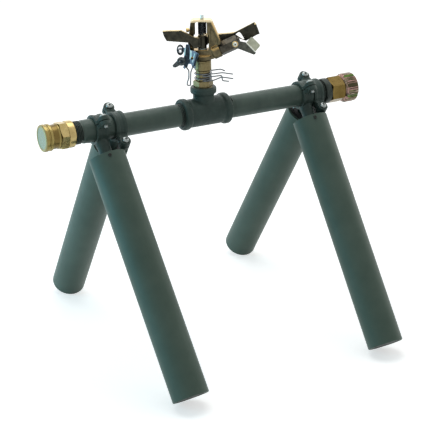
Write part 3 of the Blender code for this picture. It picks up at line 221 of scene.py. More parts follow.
def blend(material, mask, low, high, colours):
    """Runs through the screen colours as the mask goes from low to high."""
    ramp = material.node_tree.nodes.new("ShaderNodeValToRGB")
    material.node_tree.links.new(mask, ramp.inputs["Fac"])
    elements = ramp.color_ramp.elements
    while len(elements) < len(colours):
        elements.new(0.5)
    for i, colour in enumerate(colours):
        elements[i].position = low + (high - low) * i / (len(colours) - 1)
        elements[i].color = srgb(*colour)
    return ramp.outputs["Color"]


def level(material, mask, low, high, least, most):
    """Maps the mask from low..high to least..most."""
    inputs = {"Value": mask, "From_Min": low, "From_Max": high, "To_Min": least, "To_Max": most}
    return node(material, "ShaderNodeMapRange", **inputs).outputs["Result"]


def finish(name, colours, grain, gloss, relief, span=(0.3, 0.7), gloss_grain=None, **values):
    """A finish that drifts through its screen colours and between two roughnesses. A grain is
    its spots per metre, their detail and their stretch; each relief is a depth and a grain."""
    material = bpy.data.materials.new(name)
    material.use_nodes = True
    attach = material.node_tree.links.new
    shader = material.node_tree.nodes["Principled BSDF"]
    for key, value in values.items():
        shader.inputs[key.replace("_", " ")].default_value = value
    mottle = spots(material, *grain)
    sheen = spots(material, *gloss_grain) if gloss_grain else mottle
    attach(blend(material, mottle, *span, colours), shader.inputs["Base Color"])
    attach(level(material, sheen, 0.3, 0.7, *gloss), shader.inputs["Roughness"])
    before = {}
    for depth, *depth_grain in relief:
        height = spots(material, *depth_grain)
        bump = node(material, "ShaderNodeBump", Height=height, Distance=depth * MM, Strength=1.0, **before)
        before = {"Normal": bump.outputs["Normal"]}
    attach(before["Normal"], shader.inputs["Normal"])
    return material


pipe_paint = finish(
    "grey_green_pipe_paint", [(76, 92, 84), (90, 106, 98)], grain=(55, 5), gloss=(0.34, 0.46),
    gloss_grain=(160, 4), relief=[(0.10, 260, 3, (0.12, 1, 1)), (0.035, 1500, 2)], Metallic=0.0,
    Specular_IOR_Level=0.25,
)

# Dark bare steel of the cut threads and the inlet collar; in the screws' cross recesses it is painted shade.
dark_thread_and_recess_shade = finish(
    "dark_thread_and_recess_shade", [(30, 37, 34), (58, 66, 60)], grain=(300, 4), gloss=(0.35, 0.55),
    relief=[(0.03, 2500, 2)], Metallic=0.6,
)

PIPE_AXIS = shift(PIPE_X, 0, PIPE_Z)
ALONG_X = aim((0, 0, 0), (1, 0, 0))
ALONG = PIPE_AXIS @ ALONG_X
for side, near, far in (("left", -16.5, -180.0), ("right", 16.5, 181.0)):
    out = math.copysign(1, far)
    core = PIPE_R - THREAD_DEPTH
    stop = out * TEE_THREAD_END
    start = out * OUTER_THREAD_START
    rings = [
        (PIPE_BORE, near),
        (core, near),
        (core, stop),
        (PIPE_R - 0.15, stop + out * 1.6),
        (PIPE_R, stop + out * THREAD_FADE),
        (PIPE_R, start - out * THREAD_FADE),
        (PIPE_R - 0.15, start - out * 1.6),
        (core, start),
        (core, far - out * 0.6),
        (core - 0.6, far),
        (PIPE_BORE + 0.5, far),
        (PIPE_BORE, far - out * 0.5),
        (PIPE_BORE, near),
    ]
    pipe = smooth(place(lathe(f"{side}_water_pipe", rings), ALONG))
    pipe.data.materials.append(pipe_paint)
    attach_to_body(pipe, "stand")
    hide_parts(f"{side}_pipe")
    for end, (low, high) in (("inner", sorted((near, stop))), ("outer", sorted((start, far)))):
        crest = PIPE_R - 0.08
        cut = thread(f"{side}_pipe_{end}_thread", core - 0.1, crest, THREAD_PITCH, low + 0.2, high - 0.2)
        smooth(place(cut, ALONG), 30)
        cut.data.materials.append(dark_thread_and_recess_shade)
        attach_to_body(cut, "stand")

# Tee
# A malleable iron tee: the run takes both pipes and the branch takes the sprinkler. It is
# sand cast with a bead round each mouth, tapped, and painted with the pipes.

TEE_RUN = 30.5


def merge(piece, other, how="UNION"):
    """Joins another closed mesh to the piece, cuts it away, or keeps what both share."""
    metals = "TRANSFER" if other.data.materials else "INDEX"
    apply(piece, "BOOLEAN", operation=how, solver="EXACT", material_mode=metals, object=other)
    bpy.data.objects.remove(other, do_unlink=True)
    return piece


def cast(piece, grain, passes):
    """Gives a casting its rounded edges and fillets: an even skin, smoothed."""
    apply(piece, "REMESH", mode="VOXEL", voxel_size=grain * MM, use_smooth_shade=True)
    return apply(piece, "SMOOTH", factor=0.5, iterations=passes)


iron_paint = finish(
    "iron_paint", [(50, 65, 60), (70, 86, 80)], grain=(90, 5), gloss=(0.40, 0.56),
    span=(0.28, 0.72), gloss_grain=(240, 4), relief=[(0.22, 420, 4), (0.08, 1400, 3)], Metallic=0.0,
    Specular_IOR_Level=0.25,
)

tee = lathe("pipe_tee", [
    (17.0, -TEE_RUN), (18.1, -29.6), (18.5, -28.6), (18.5, -24.4), (18.0, -23.2), (16.6, -22.2),
    (16.2, -20.6), (16.7, -18.6), (16.7, 18.6), (16.2, 20.6), (16.6, 22.2), (18.0, 23.2),
    (18.5, 24.4), (18.5, 28.6), (18.1, 29.6), (17.0, TEE_RUN),
])
place(tee, ALONG_X)
branch = lathe("branch", [
    (12.3, 0), (12.3, 20.6), (13.4, 22.2), (15.0, 23.2), (15.3, 24.4), (15.3, 29.0), (14.2, TEE_RUN),
])
merge(tee, branch)
bore = lathe("bore", [
    (13.6, -35), (13.6, -16.2), (11.4, -16.2), (11.4, 16.2), (13.6, 16.2), (13.6, 35),
])
merge(tee, place(bore, ALONG_X), "DIFFERENCE")
merge(tee, lathe("branch_bore", [(10.9, 0), (10.9, 35)]), "DIFFERENCE")
cast(tee, 0.55, 5)
place(tee, PIPE_AXIS)
tee.data.materials.append(iron_paint)
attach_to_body(tee, "stand")
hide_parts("tee")

# Outlet adapter and hose cap
# Turned brass: a hexagon to hold a wrench, a flange and a hose thread, closed by a screwed
# cap with two grip beads and a rubber washer inside. Both were polished and lightly lacquered.

OUT_TURN = math.radians(8.4)
PIPE_SOCKET = 13.64
HOSE_BORE = 8.0
HEX_CORNER = 16.512
HOSE_THREAD_PITCH = 2.2
OUTLET = PIPE_AXIS @ aim((0, 0, 0), (-1, 0, 0), (0, -math.cos(OUT_TURN), math.sin(OUT_TURN)))


def edged(piece, width):
    """Breaks the sharp edges with a small bevel."""
    return apply(
        piece, "BEVEL", width=width * MM, segments=2, limit_method="ANGLE",
        angle_limit=math.radians(32), miter_outer="MITER_ARC",
    )


def hexagon(name, corner, low, high, chamfer):
    """Six-sided bar with a corner towards X, its two ends turned off at thirty degrees."""
    bar = lathe(name, [(corner, low), (corner, high)], 6)
    place(bar, Matrix.Rotation(math.radians(30), 4, "Z"))
    flat = 0.866 * corner  # half the distance across the flats
    rings = [(flat - 0.2, low - 0.01), (corner + 0.1, low + chamfer), (corner + 0.1, high - chamfer)]
    return merge(bar, lathe("turned_off", [*rings, (flat - 0.2, high + 0.01)]), "INTERSECT")


brass = finish(
    "polished_hose_brass", [(150, 130, 82), (184, 164, 112), (166, 145, 92)], grain=(70, 5),
    gloss=(0.22, 0.32), span=(0.25, 0.75), gloss_grain=(400, 4),
    relief=[(0.001, 500, 2, (5, 0.2, 0.2)), (0.004, 120, 2)], Metallic=1.0,
)

adapter = hexagon("brass_outlet_adapter", HEX_CORNER, 175.6, 185.0, 1.0)
merge(adapter, lathe("outlet_barrel", [
    (14.4, 167.5), (15.1, 167.8), (15.4, 168.6), (15.4, 174.6), (15.1, 175.3), (14.4, 175.6), (14.4, 180),
    (12.3, 182.0), (12.3, 193.4), (11.8, 194.0),
]))
outlet_bore = lathe("outlet_bore", [
    (PIPE_SOCKET, 160), (PIPE_SOCKET, 180.3), (HOSE_BORE, 180.3), (HOSE_BORE, 200),
])
merge(adapter, outlet_bore, "DIFFERENCE")
edged(adapter, 0.22)
joined(adapter, thread("outlet_thread", 12.2, 13.1, HOSE_THREAD_PITCH, 185.2, 193.6))
smooth(place(adapter, OUTLET))
adapter.data.materials.append(brass)
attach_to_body(adapter, "stand")
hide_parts("outlet_adapter")

cap = lathe("brass_hose_cap", [
    (0.6, 203.25), (12.3, 203.25), (12.8, 203.7), (14.35, 203.7), (14.7, 203.55), (15.35, 202.75),
    (15.5, 202.4), (15.5, 199.8), (15.3, 199.3), (14.4, 198.8), (14.2, 198.4), (14.2, 198.0), (14.4, 197.6),
    (15.1, 197.2), (15.3, 196.8), (15.3, 194.9), (15.1, 194.5), (14.1, 194.0), (13.8, 193.4), (13.8, 188.0),
    (14.0, 187.3), (14.5, 186.6), (14.5, 185.6), (14.3, 185.4), (13.4, 185.4), (13.4, 197.6), (0.6, 197.6),
])
smooth(place(cap, OUTLET), 30)
cap_brass = finish(
    "capped_brass", [(132, 116, 66), (160, 144, 92)], grain=(60, 5), gloss=(0.24, 0.34),
    span=(0.25, 0.75), gloss_grain=(380, 4),
    relief=[(0.001, 500, 2, (5, 0.2, 0.2)), (0.004, 120, 2)], Metallic=1.0,
)


def mixed(material, kind, amount, under, over):
    """Mixes two colours; each may be a socket or a value."""
    mix = material.node_tree.nodes.new("ShaderNodeMixRGB")
    mix.blend_type = kind
    for socket, value in zip(mix.inputs, (amount, under, over)):
        if isinstance(value, bpy.types.NodeSocket):
            material.node_tree.links.new(value, socket)
        else:
            socket.default_value = value
    return mix.outputs["Color"]


def tint(material, kind, amount, colour):
    """Mixes a colour or a mask over the colour that the finish has so far."""
    base = material.node_tree.nodes["Principled BSDF"].inputs["Base Color"]
    so_far = base.links[0].from_socket
    material.node_tree.links.new(mixed(material, kind, amount, so_far, colour), base)


def cap_band(start, end, first, last):
    """Mask on the cap that changes between two heights of its profile, in millimetres."""
    return level(cap_brass, along_cap, (PIPE_X - start) * MM, (PIPE_X - end) * MM, first, last)


where = node(cap_brass, "ShaderNodeTexCoord").outputs["Object"]
along_cap = node(cap_brass, "ShaderNodeSeparateXYZ", Vector=where).outputs["X"]
# The face mask puts a grey-green painted reflection on the cap's flat end.
face = mixed(cap_brass, "MULTIPLY", 1.0, cap_band(203.15, 203.0, 1.0, 0.0), cap_band(203.6, 203.4, 0.0, 1.0))
# Painted shade darkens the cap's recessed neck between its bead and the hexagon.
painted_waist_shade = mixed(cap_brass, "MULTIPLY", 1.0, cap_band(194.3, 193.7, 0.0, 0.6), cap_band(187.5, 187.1, 1.0, 0.2))
tint(cap_brass, "MULTIPLY", painted_waist_shade, (0.26, 0.17, 0.10, 1))
tint(cap_brass, "MIX", face, srgb(126, 134, 117))
cap.data.materials.append(cap_brass)
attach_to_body(cap, "hose_cap")
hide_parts("hose_cap")

rubber = finish(
    "washer_rubber", [(26, 26, 27), (44, 45, 46)], grain=(300, 5), gloss=(0.65, 0.85),
    relief=[(0.05, 1800, 3)], Metallic=0.0,
)
inner, outer, edge = HOSE_BORE, 13.1, 0.35
for washer, low, high, body, at in (
    ("cap_washer", 194.3, 197.3, "hose_cap", OUTLET),
    ("inlet_washer", 197.8, 200.8, "swivel_nut", ALONG),
):
    ring = lathe(f"{washer}_ring", [
        (inner, low + edge), (inner, high - edge), (inner + edge, high), (outer - edge, high),
        (outer, high - edge), (outer, low + edge), (outer - edge, low), (inner + edge, low),
        (inner, low + edge),
    ])
    smooth(place(ring, at), 60)
    ring.data.materials.append(rubber)
    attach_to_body(ring, body)
    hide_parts(washer)

# Inlet collar, adapter and swivel nut
# A malleable collar and a brass hexagon on the pipe's end carry a loose swivel nut for the
# hose. The nut has eight grip lobes with three fine lines on each; its passivated skin shows
# pink on the lobes and green in the flutes and lines, and painted shade darkens some of them.

collar = lathe("inlet_thread_collar", [
    (PIPE_SOCKET, 171.0), (14.1, 171.0), (14.9, 170.6), (15.4, 169.8), (15.5, 168.9), (15.5, 165.2),
    (15.3, 164.2), (14.8, 163.3), (14.1, 162.8), (PIPE_SOCKET, 162.8), (PIPE_SOCKET, 171.0),
])
smooth(place(collar, ALONG), 50)
collar.data.materials.append(dark_thread_and_recess_shade)
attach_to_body(collar, "stand")
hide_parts("inlet_collar")

satin = finish(
    "dulled_inlet_brass", [(98, 80, 40), (128, 108, 62)], grain=(80, 5), gloss=(0.24, 0.38),
    span=(0.25, 0.75), gloss_grain=(320, 4), relief=[(0.003, 500, 3, (5, 0.2, 0.2)), (0.012, 160, 3)],
    Metallic=1.0,
)

inlet = hexagon("brass_inlet_adapter", HEX_CORNER, 171.3, 190.0, 1.4)
merge(inlet, lathe("inlet_neck", [(10.5, 185), (10.5, 195.0), (12.6, 195.0), (12.6, 197.5)]))
inlet_bore = lathe("inlet_bore", [
    (PIPE_SOCKET, 160), (PIPE_SOCKET, 181.3), (HOSE_BORE, 181.3), (HOSE_BORE, 205),
])
merge(inlet, inlet_bore, "DIFFERENCE")
edged(inlet, 0.25)
smooth(place(inlet, ALONG))
inlet.data.materials.append(satin)
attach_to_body(inlet, "stand")
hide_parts("inlet_adapter")

GRIP_LOBES = 8
FLUTE_R = 3.2
FLUTE_AT = 19.5
LINE_R = 0.55
LINE_AT = 17.9
LINE_STEP = math.radians(9.0)

nut = lathe("fluted_swivel_nut", [
    (13.5, 207.5), (16.2, 207.5), (17.3, 206.9), (17.8, 205.8), (17.8, 194.2), (17.2, 192.9), (14.6, 190.5),
    (14.2, 190.3), (10.8, 190.3), (10.8, 194.7), (13.5, 194.7), (13.5, 207.5),
], 128)
films = {}
for metal, colours in (
    ("passivated_pink", [(98, 90, 62), (168, 132, 126), (84, 80, 56), (198, 178, 166)]),
    ("passivated_green", [(50, 56, 38), (98, 124, 62), (58, 60, 42), (146, 158, 118)]),
    ("painted_flute_shade", [(40, 40, 31), (84, 78, 56)]),
):
    film = finish(
        metal, colours, grain=(300, 2, (0.15, 1, 1)), gloss=(0.18, 0.32), gloss_grain=(500, 4),
        relief=[(0.003, 500, 3, (0.2, 1, 1))], Metallic=1.0,
    )
    films[metal] = film
nut.data.materials.append(films["passivated_pink"])
for i in range(GRIP_LOBES):
    middle = math.tau * i / GRIP_LOBES
    # A set last flag puts painted shade in that flute or line: every other flute and the outer two lines.
    cuts = [(math.tau * (i + 0.5) / GRIP_LOBES, FLUTE_AT, FLUTE_R, 32, i % 2)]
    cuts += [(middle + LINE_STEP * step, LINE_AT, LINE_R, 12, step) for step in (-1, 0, 1)]
    for turn, out, radius, sides, dark in cuts:
        groove = lathe("groove", [(radius, 188), (radius, 210)], sides)
        groove.data.materials.append(films["painted_flute_shade" if dark else "passivated_green"])
        place(groove, shift(out * math.cos(turn), out * math.sin(turn), 0))
        merge(nut, groove, "DIFFERENCE")
edged(nut, 0.15)
turns = thread("nut_thread", 13.6, 12.5, HOSE_THREAD_PITCH, 201.0, 206.9)
turns.data.materials.append(films["passivated_pink"])
smooth(place(joined(nut, turns), ALONG))
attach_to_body(nut, "swivel_nut")
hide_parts("swivel_nut")

# Legs
# Four lengths of wider steel tube, sawn square and painted. A black moulded plug closes each
# end; the upper one is held by a small screw and takes the boss of the clamp.

SPREAD = math.radians(35.2)
# Each leg's side, -1 in front and 1 behind, its clamp's place along the pipe and its lean.
LEGS = {
    "front_left": (-1, -136.1, math.radians(2.9)),
    "front_right": (-1, 135.2, math.radians(0.4)),
    "back_left": (1, -112.7, math.radians(0.7)),
    "back_right": (1, 150.6, math.radians(0.0)),
}
LEG_R = 20.97
LEG_BORE = 17.52
LEG_REACH = 318.67
MOUTH = -32.0
PLUG_R = 17.22
PLUG_HOLE = 0.8
PLUG_RECESS = 1.2
SOCKET_DEPTH = 12
UPPER_PLUG = 18
FOOT_PLUG = 10
SCREW_DROP = 4.5
SCREW_SEAT = 21.38
SCREW_TURN = math.radians(14)


def leg_hinge(side, along, lean):
    """Place of a leg's clamp on the pipe, turned by the leg's spread."""
    tilt = math.acos(math.cos(SPREAD) / math.cos(lean))
    return PIPE_AXIS @ shift(along, 0, 0) @ Matrix.Rotation(side * tilt, 4, "X")


def leg_mouth(lean):
    """Height of the tube's upper end from the pipe's axis, lower where the leg leans."""
    return MOUTH - LEG_R * math.tan(lean)


leg_paint = finish(
    "grey_green_leg_paint", [(80, 98, 88), (91, 108, 98)], grain=(30, 6), gloss=(0.40, 0.50),
    gloss_grain=(120, 4), relief=[(0.10, 200, 3, (1, 0.3, 0.3)), (0.03, 1300, 2)], Metallic=0.0,
    Specular_IOR_Level=0.2,
)

plug_black = finish(
    "moulded_plug", [(22, 25, 25), (40, 46, 45)], grain=(200, 5), gloss=(0.5, 0.75),
    relief=[(0.05, 1200, 3)], Metallic=0.0,
)

rust_screw = finish(
    "rusted_screw", [(34, 42, 39), (58, 56, 52)], grain=(900, 5), gloss=(0.45, 0.75),
    relief=[(0.08, 900, 5)], Metallic=0.7,
)


def cross_recess(width, depth, top):
    """Cutter for a cross-shaped driver recess: two tapered wedges, crossed."""
    blades = []
    for turn in (45, 135):
        bpy.ops.mesh.primitive_cube_add(size=1, location=(0, 0, 0))
        blade = named("blade")
        blade.scale = (width * MM, 0.26 * width * MM, 2 * depth * MM)
        bpy.ops.object.transform_apply(location=True, rotation=True, scale=True)
        bpy.ops.object.mode_set(mode="EDIT")
        bpy.ops.mesh.select_all(action="DESELECT")
        bpy.ops.object.mode_set(mode="OBJECT")
        for face in blade.data.polygons:
            face.select = face.normal.z < -0.9
        bpy.ops.object.mode_set(mode="EDIT")
        bpy.ops.transform.resize(value=(0.45, 0.6, 1), center_override=(0, 0, 0))
        bpy.ops.object.mode_set(mode="OBJECT")
        place(blade, shift(0, 0, top) @ Matrix.Rotation(math.radians(turn), 4, "Z"))
        blades.append(blade)
    return merge(blades[0], blades[1])


def dome_screw(name, head_r, head_h, shank_r, length, pitch, metal):
    """Round-head screw along Z, the underside of its head at zero, its cross recess painted dark as shade.
    """
    rings = [(0.15 * head_r, head_h), (0.5 * head_r, 0.96 * head_h), (0.78 * head_r, 0.8 * head_h)]
    rings += [(0.94 * head_r, 0.52 * head_h), (head_r, 0.22 * head_h), (head_r, 0.02), (head_r - 0.05, 0)]
    rings += [(shank_r - 0.3, 0), (shank_r - 0.3, 0.4 - length), (shank_r - 0.7, -length)]
    screw = lathe(name, rings, 40)
    screw.data.materials.append(metal)
    recess = cross_recess(1.3 * head_r, 0.6 * head_h, head_h)
    # The recess is painted dark as shade.
    recess.data.materials.append(dark_thread_and_recess_shade)
    merge(screw, recess, "DIFFERENCE")
    turns = thread("screw_thread", shank_r - 0.35, shank_r, pitch, 0.5 - length, -0.5, 20)
    turns.data.materials.append(metal)
    return smooth(joined(screw, turns), 30)


def copied(model, name):
    """A copy of a piece with its own mesh."""
    twin = model.copy()
    twin.data = model.data.copy()
    twin.name = twin.data.name = name
    bpy.context.scene.collection.objects.link(twin)
    return twin


plug_screw = dome_screw("plug_screw", 2.0, 1.2, 1.3, 10, 0.7, rust_screw)
for leg, (side, along, lean) in LEGS.items():
    down = leg_hinge(side, along, lean) @ Matrix.Rotation(-lean, 4, "Y")
    mouth = leg_mouth(lean)
    tube = lathe(f"{leg}_leg", [
        (LEG_BORE, mouth - 0.4), (17.9, mouth), (20.7, mouth), (21.0, mouth - 0.12), (LEG_R, mouth - 0.45),
        (LEG_R, -LEG_REACH + 1.1), (20.85, -LEG_REACH + 0.7), (20.1, -LEG_REACH), (17.9, -LEG_REACH),
        (LEG_BORE, -LEG_REACH + 0.4), (LEG_BORE, mouth - 0.4),
    ])
    towards = (side * math.sin(SCREW_TURN), side * math.cos(SCREW_TURN), 0)
    screw_at = aim((0, 0, mouth - SCREW_DROP), towards, (0, 0, 1))
    hole = place(lathe("hole", [(1.6, 8), (1.6, 30)], 32), screw_at)
    merge(tube, copied(hole, "tube_hole"), "DIFFERENCE")
    smooth(place(tube, down), 30)
    tube.data.materials.append(leg_paint)
    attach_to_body(tube, f"{leg}_leg")
    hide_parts(f"{leg}_leg_tube")

    top = mouth - PLUG_RECESS
    socket = top - SOCKET_DEPTH
    plug = lathe(f"{leg}_upper_plug", [
        (PLUG_HOLE, socket), (7.8, socket), (7.8, top - 0.5), (8.3, top), (13.2, top), (13.6, top - 0.7),
        (14.6, top - 0.7), (15.0, top), (16.4, top), (17.1, top - 0.5), (PLUG_R, top - 1.2),
        (PLUG_R, top - UPPER_PLUG), (PLUG_HOLE, top - UPPER_PLUG),
    ])
    merge(plug, hole, "DIFFERENCE")
    low = -LEG_REACH + 0.5
    foot = lathe(f"{leg}_lower_plug", [
        (PLUG_HOLE, low), (12.0, low), (12.4, low + 0.6), (13.4, low + 0.6), (13.8, low), (16.6, low),
        (PLUG_R, low + 0.6), (PLUG_R, low + FOOT_PLUG), (PLUG_HOLE, low + FOOT_PLUG),
    ])
    for piece, cad in ((plug, f"{leg}_top_plug"), (foot, f"{leg}_foot_plug")):
        smooth(place(piece, down), 30)
        piece.data.materials.append(plug_black)
        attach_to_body(piece, f"{leg}_leg")
        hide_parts(cad)

    screw = copied(plug_screw, f"{leg}_leg_screw")
    place(screw, down @ screw_at @ shift(0, 0, SCREW_SEAT))
    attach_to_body(screw, f"{leg}_leg")
    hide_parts(f"{leg}_plug_screw")
bpy.data.objects.remove(plug_screw, do_unlink=True)

# Leg clamps
# Each leg hangs from a split clamp of malleable iron. Both halves have a round eye on each ear,
# the saddle has a boss for the plug too, and two cross-head screws draw the halves together.

CLAMP_R = 17.035
CLAMP_BORE = 13.7
EAR_AT = 25.3
EAR_LOW = 0.4
EAR_TOP = 4.9
BOLT_SEAT = 5.7
SPLIT_CUBE = 80
CLAMP_AXIS = aim((0, 0, 0), (1, 0, 0), (0, 1, 0))


def slab(name, outline, low, high):
    """A plate: the outline is drawn in XY, filled, and pulled up."""
    piece = draw(name, [(x, y, low) for x, y in outline])
    bpy.ops.mesh.select_all(action="SELECT")
    bpy.ops.mesh.edge_face_add()
    bpy.ops.mesh.extrude_region_move(TRANSFORM_OT_translate={"value": (0, 0, (high - low) * MM)})
    bpy.ops.mesh.select_all(action="SELECT")
    bpy.ops.mesh.normals_make_consistent(inside=False)
    bpy.ops.object.mode_set(mode="OBJECT")
    return piece


def clamp_half(name, above):
    """Half a clamp about X: band, raised rim, and an ear with a round eye at each end."""
    band = lathe(name, [
        (15.0, -7.0), (CLAMP_R - 0.4, -7.0), (CLAMP_R, -6.4), (CLAMP_R, -3.2), (CLAMP_R - 0.7, -2.6),
        (CLAMP_R - 0.7, 2.6), (CLAMP_R, 3.2), (CLAMP_R, 6.4), (CLAMP_R - 0.4, 7.0), (15.0, 7.0),
    ])
    place(band, CLAMP_AXIS)
    ears = slab("ears", [
        (-4.2, -EAR_AT), (4.2, -EAR_AT), (6.2, -16), (6.2, 16), (4.2, EAR_AT), (-4.2, EAR_AT),
        (-6.2, 16), (-6.2, -16),
    ], EAR_LOW, EAR_TOP)
    merge(band, ears)
    for end in (-1, 1):
        eye = lathe("eye", [(6.4, EAR_LOW), (6.4, EAR_TOP), (6.0, 5.4), (5.2, 5.4)], 48)
        merge(band, place(eye, shift(0, end * EAR_AT, 0)))
    for end in (-1, 1):
        hole = lathe("hole", [(2.8, -1), (2.8, 9)], 32)
        merge(band, place(hole, shift(0, end * EAR_AT, 0)), "DIFFERENCE")
    split_z = EAR_LOW - SPLIT_CUBE / 2
    bpy.ops.mesh.primitive_cube_add(size=SPLIT_CUBE * MM, location=(0, 0, split_z * MM))
    merge(band, named("split"), "DIFFERENCE")
    return band if above else place(band, Matrix.Rotation(math.pi, 4, "X"))


cap_model = clamp_half("cap_model", True)
bore = place(lathe("bore", [(CLAMP_BORE, -12), (CLAMP_BORE, 12)]), CLAMP_AXIS)
merge(cap_model, copied(bore, "cap_bore"), "DIFFERENCE")
cast(cap_model, 0.5, 3)
saddle_model = clamp_half("saddle_model", False)

zinc = finish(
    "bright_zinc", [(112, 120, 118), (168, 174, 172)], grain=(600, 4), gloss=(0.22, 0.4),
    relief=[(0.03, 2200, 3)], Metallic=1.0,
)

clamp_screw = dome_screw("clamp_screw", 4.0, 2.6, 2.4, 13.5, 0.9, zinc)
for leg, (side, along, lean) in LEGS.items():
    hinge = leg_hinge(side, along, lean)
    floor = leg_mouth(lean) - PLUG_RECESS - SOCKET_DEPTH + 0.3
    cap = copied(cap_model, f"{leg}_clamp_upper_half")
    saddle = copied(saddle_model, f"{leg}_clamp_lower_half")
    boss = lathe("boss", [
        (7.9, -8), (7.9, -19.5), (7.7, -21), (7.5, -22), (7.5, floor + 1.2), (7.1, floor + 0.3),
        (6.3, floor),
    ], 64)
    merge(saddle, place(boss, Matrix.Rotation(-lean, 4, "Y")))
    merge(saddle, copied(bore, "saddle_bore"), "DIFFERENCE")
    cast(saddle, 0.5, 3)
    for half, cad in ((cap, f"{leg}_clamp_cap"), (saddle, f"{leg}_clamp_saddle")):
        place(half, hinge)
        half.data.materials.append(iron_paint)
        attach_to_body(half, f"{leg}_leg")
        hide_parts(cad)
    for end, sign in (("upper", side), ("lower", -side)):
        screw = copied(clamp_screw, f"{leg}_{end}_clamp_bolt")
        turn = Matrix.Rotation(math.radians(25 + 40 * (sign + side)), 4, "Z")
        place(screw, hinge @ shift(0, sign * EAR_AT, BOLT_SEAT) @ turn)
        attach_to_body(screw, f"{leg}_leg")
        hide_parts(f"{leg}_clamp_screw_{end}")
for model in (cap_model, saddle_model, clamp_screw, bore):
    bpy.data.objects.remove(model, do_unlink=True)

# Bearing
# A turned brass nipple is screwed into the tee; the head turns on it. A brass nut holds the
# head down, with a spring inside that presses the seal. Water has dulled the brass.

HEAD_YAW = math.radians(-28.4)
HEAD = PIPE_AXIS @ Matrix.Rotation(HEAD_YAW, 4, "Z")


def coil(name, radius, wire, pitch, turns, low, start=0.0):
    """Round wire wound about Z; low is the height of its first end, start that end's angle."""
    rest()
    bpy.ops.mesh.primitive_circle_add(
        vertices=12, radius=wire / 2 * MM, location=(radius * MM, 0, low * MM), rotation=(math.pi / 2, 0, 0),
    )
    piece = named(name)
    bpy.ops.object.transform_apply(location=True, rotation=True, scale=True)
    count = round(turns * 40)
    apply(
        piece, "SCREW", axis="Z", angle=math.tau * turns, screw_offset=pitch * MM * turns,
        steps=count, render_steps=count, use_normal_calculate=True,
    )
    place(piece, Matrix.Rotation(start, 4, "Z"))
    return smooth(close_ends(piece), 60)


old_brass = finish(
    "dulled_bearing_brass", [(86, 78, 52), (130, 118, 84), (104, 92, 62)], grain=(240, 5),
    gloss=(0.28, 0.46), span=(0.25, 0.75), relief=[(0.012, 900, 2, (0.15, 0.15, 4)), (0.02, 500, 4)],
    Metallic=0.85,
)

spring_steel = finish(
    "spring_wire", [(70, 74, 76), (136, 142, 146)], grain=(500, 4), gloss=(0.25, 0.42),
    relief=[(0.01, 2600, 2)], Metallic=0.9,
)

nipple = lathe("turned_bearing_nipple", [
    (4.6, 66.0), (8.0, 66.0), (8.2, 65.8), (8.2, 64.6), (8.0, 64.4), (6.2, 64.4), (6.2, 49.8), (8.1, 49.8),
    (8.4, 49.5), (8.4, 38.4), (8.1, 38.0), (8.1, 34.0), (9.95, 32.6), (9.95, 16.4), (9.2, 15.5), (4.6, 15.5),
    (4.6, 66.0),
])
grip = hexagon("nipple_grip", 11.7, 31.0, 38.0, 1.1)
merge(grip, lathe("grip_bore", [(6.0, 28), (6.0, 42)]), "DIFFERENCE")
place(grip, Matrix.Rotation(math.radians(6), 4, "Z"))
merge(nipple, grip)
edged(nipple, 0.15)
joined(nipple, thread("nipple_thread", 9.9, 10.55, THREAD_PITCH, 16.2, 30.8))
bearing_nut = lathe("bearing_sleeve_nut", [
    (8.8, 61.9), (9.6, 61.9), (9.9, 61.6), (9.9, 60.4), (9.7, 60.2), (9.9, 60.0), (9.9, 50.8), (9.3, 50.1),
    (6.7, 50.1), (6.5, 50.3), (6.5, 52.1), (8.8, 52.1), (8.8, 61.9),
])
for piece, body, cad in ((nipple, "stand", "bearing_nipple"), (bearing_nut, "head", "bearing_nut")):
    smooth(place(piece, HEAD), 30)
    piece.data.materials.append(old_brass)
    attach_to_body(piece, body)
    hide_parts(cad)

seal_spring = place(coil("bearing_pressure_spring", 7.5, 1.0, 2.4, 4.45, 52.95), HEAD)
seal_spring.data.materials.append(spring_steel)
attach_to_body(seal_spring, "head")
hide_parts("bearing_spring")

# Friction collars
# Two rings of spring wire clip round the nipple, one above the other. Their ends stand out
# in front and behind as arms, and where the arms are set the head turns back.

WIRE = 1.5
COLLAR_R = 9.78
COLLAR_PITCH = 2.1


def bent_wire(name, points, wire, bend):
    """Round wire through the points, in millimetres, each bend rounded."""
    path = [Vector(points[0])]
    for before, at, after in zip(points, points[1:], points[2:]):
        before, at, after = Vector(before), Vector(at), Vector(after)
        back = min(bend, 0.45 * (at - before).length, 0.45 * (after - at).length)
        if back < 0.8:
            path.append(at)
            continue
        first = at + (before - at).normalized() * back
        last = at + (after - at).normalized() * back
        for i in range(6):
            t = i / 5
            path.append(first * (1 - t) ** 2 + at * 2 * t * (1 - t) + last * t ** 2)
    path.append(Vector(points[-1]))
    piece = draw(name, path)
    bpy.ops.object.mode_set(mode="OBJECT")
    hold(piece)
    bpy.ops.object.convert(target="CURVE")
    curve = bpy.context.object.data
    curve.bevel_depth = wire / 2 * MM
    curve.bevel_resolution = 4
    curve.use_fill_caps = True
    bpy.ops.object.convert(target="MESH")
    piece = bpy.context.object
    piece.data.name = name
    return smooth(close_ends(piece), 60)


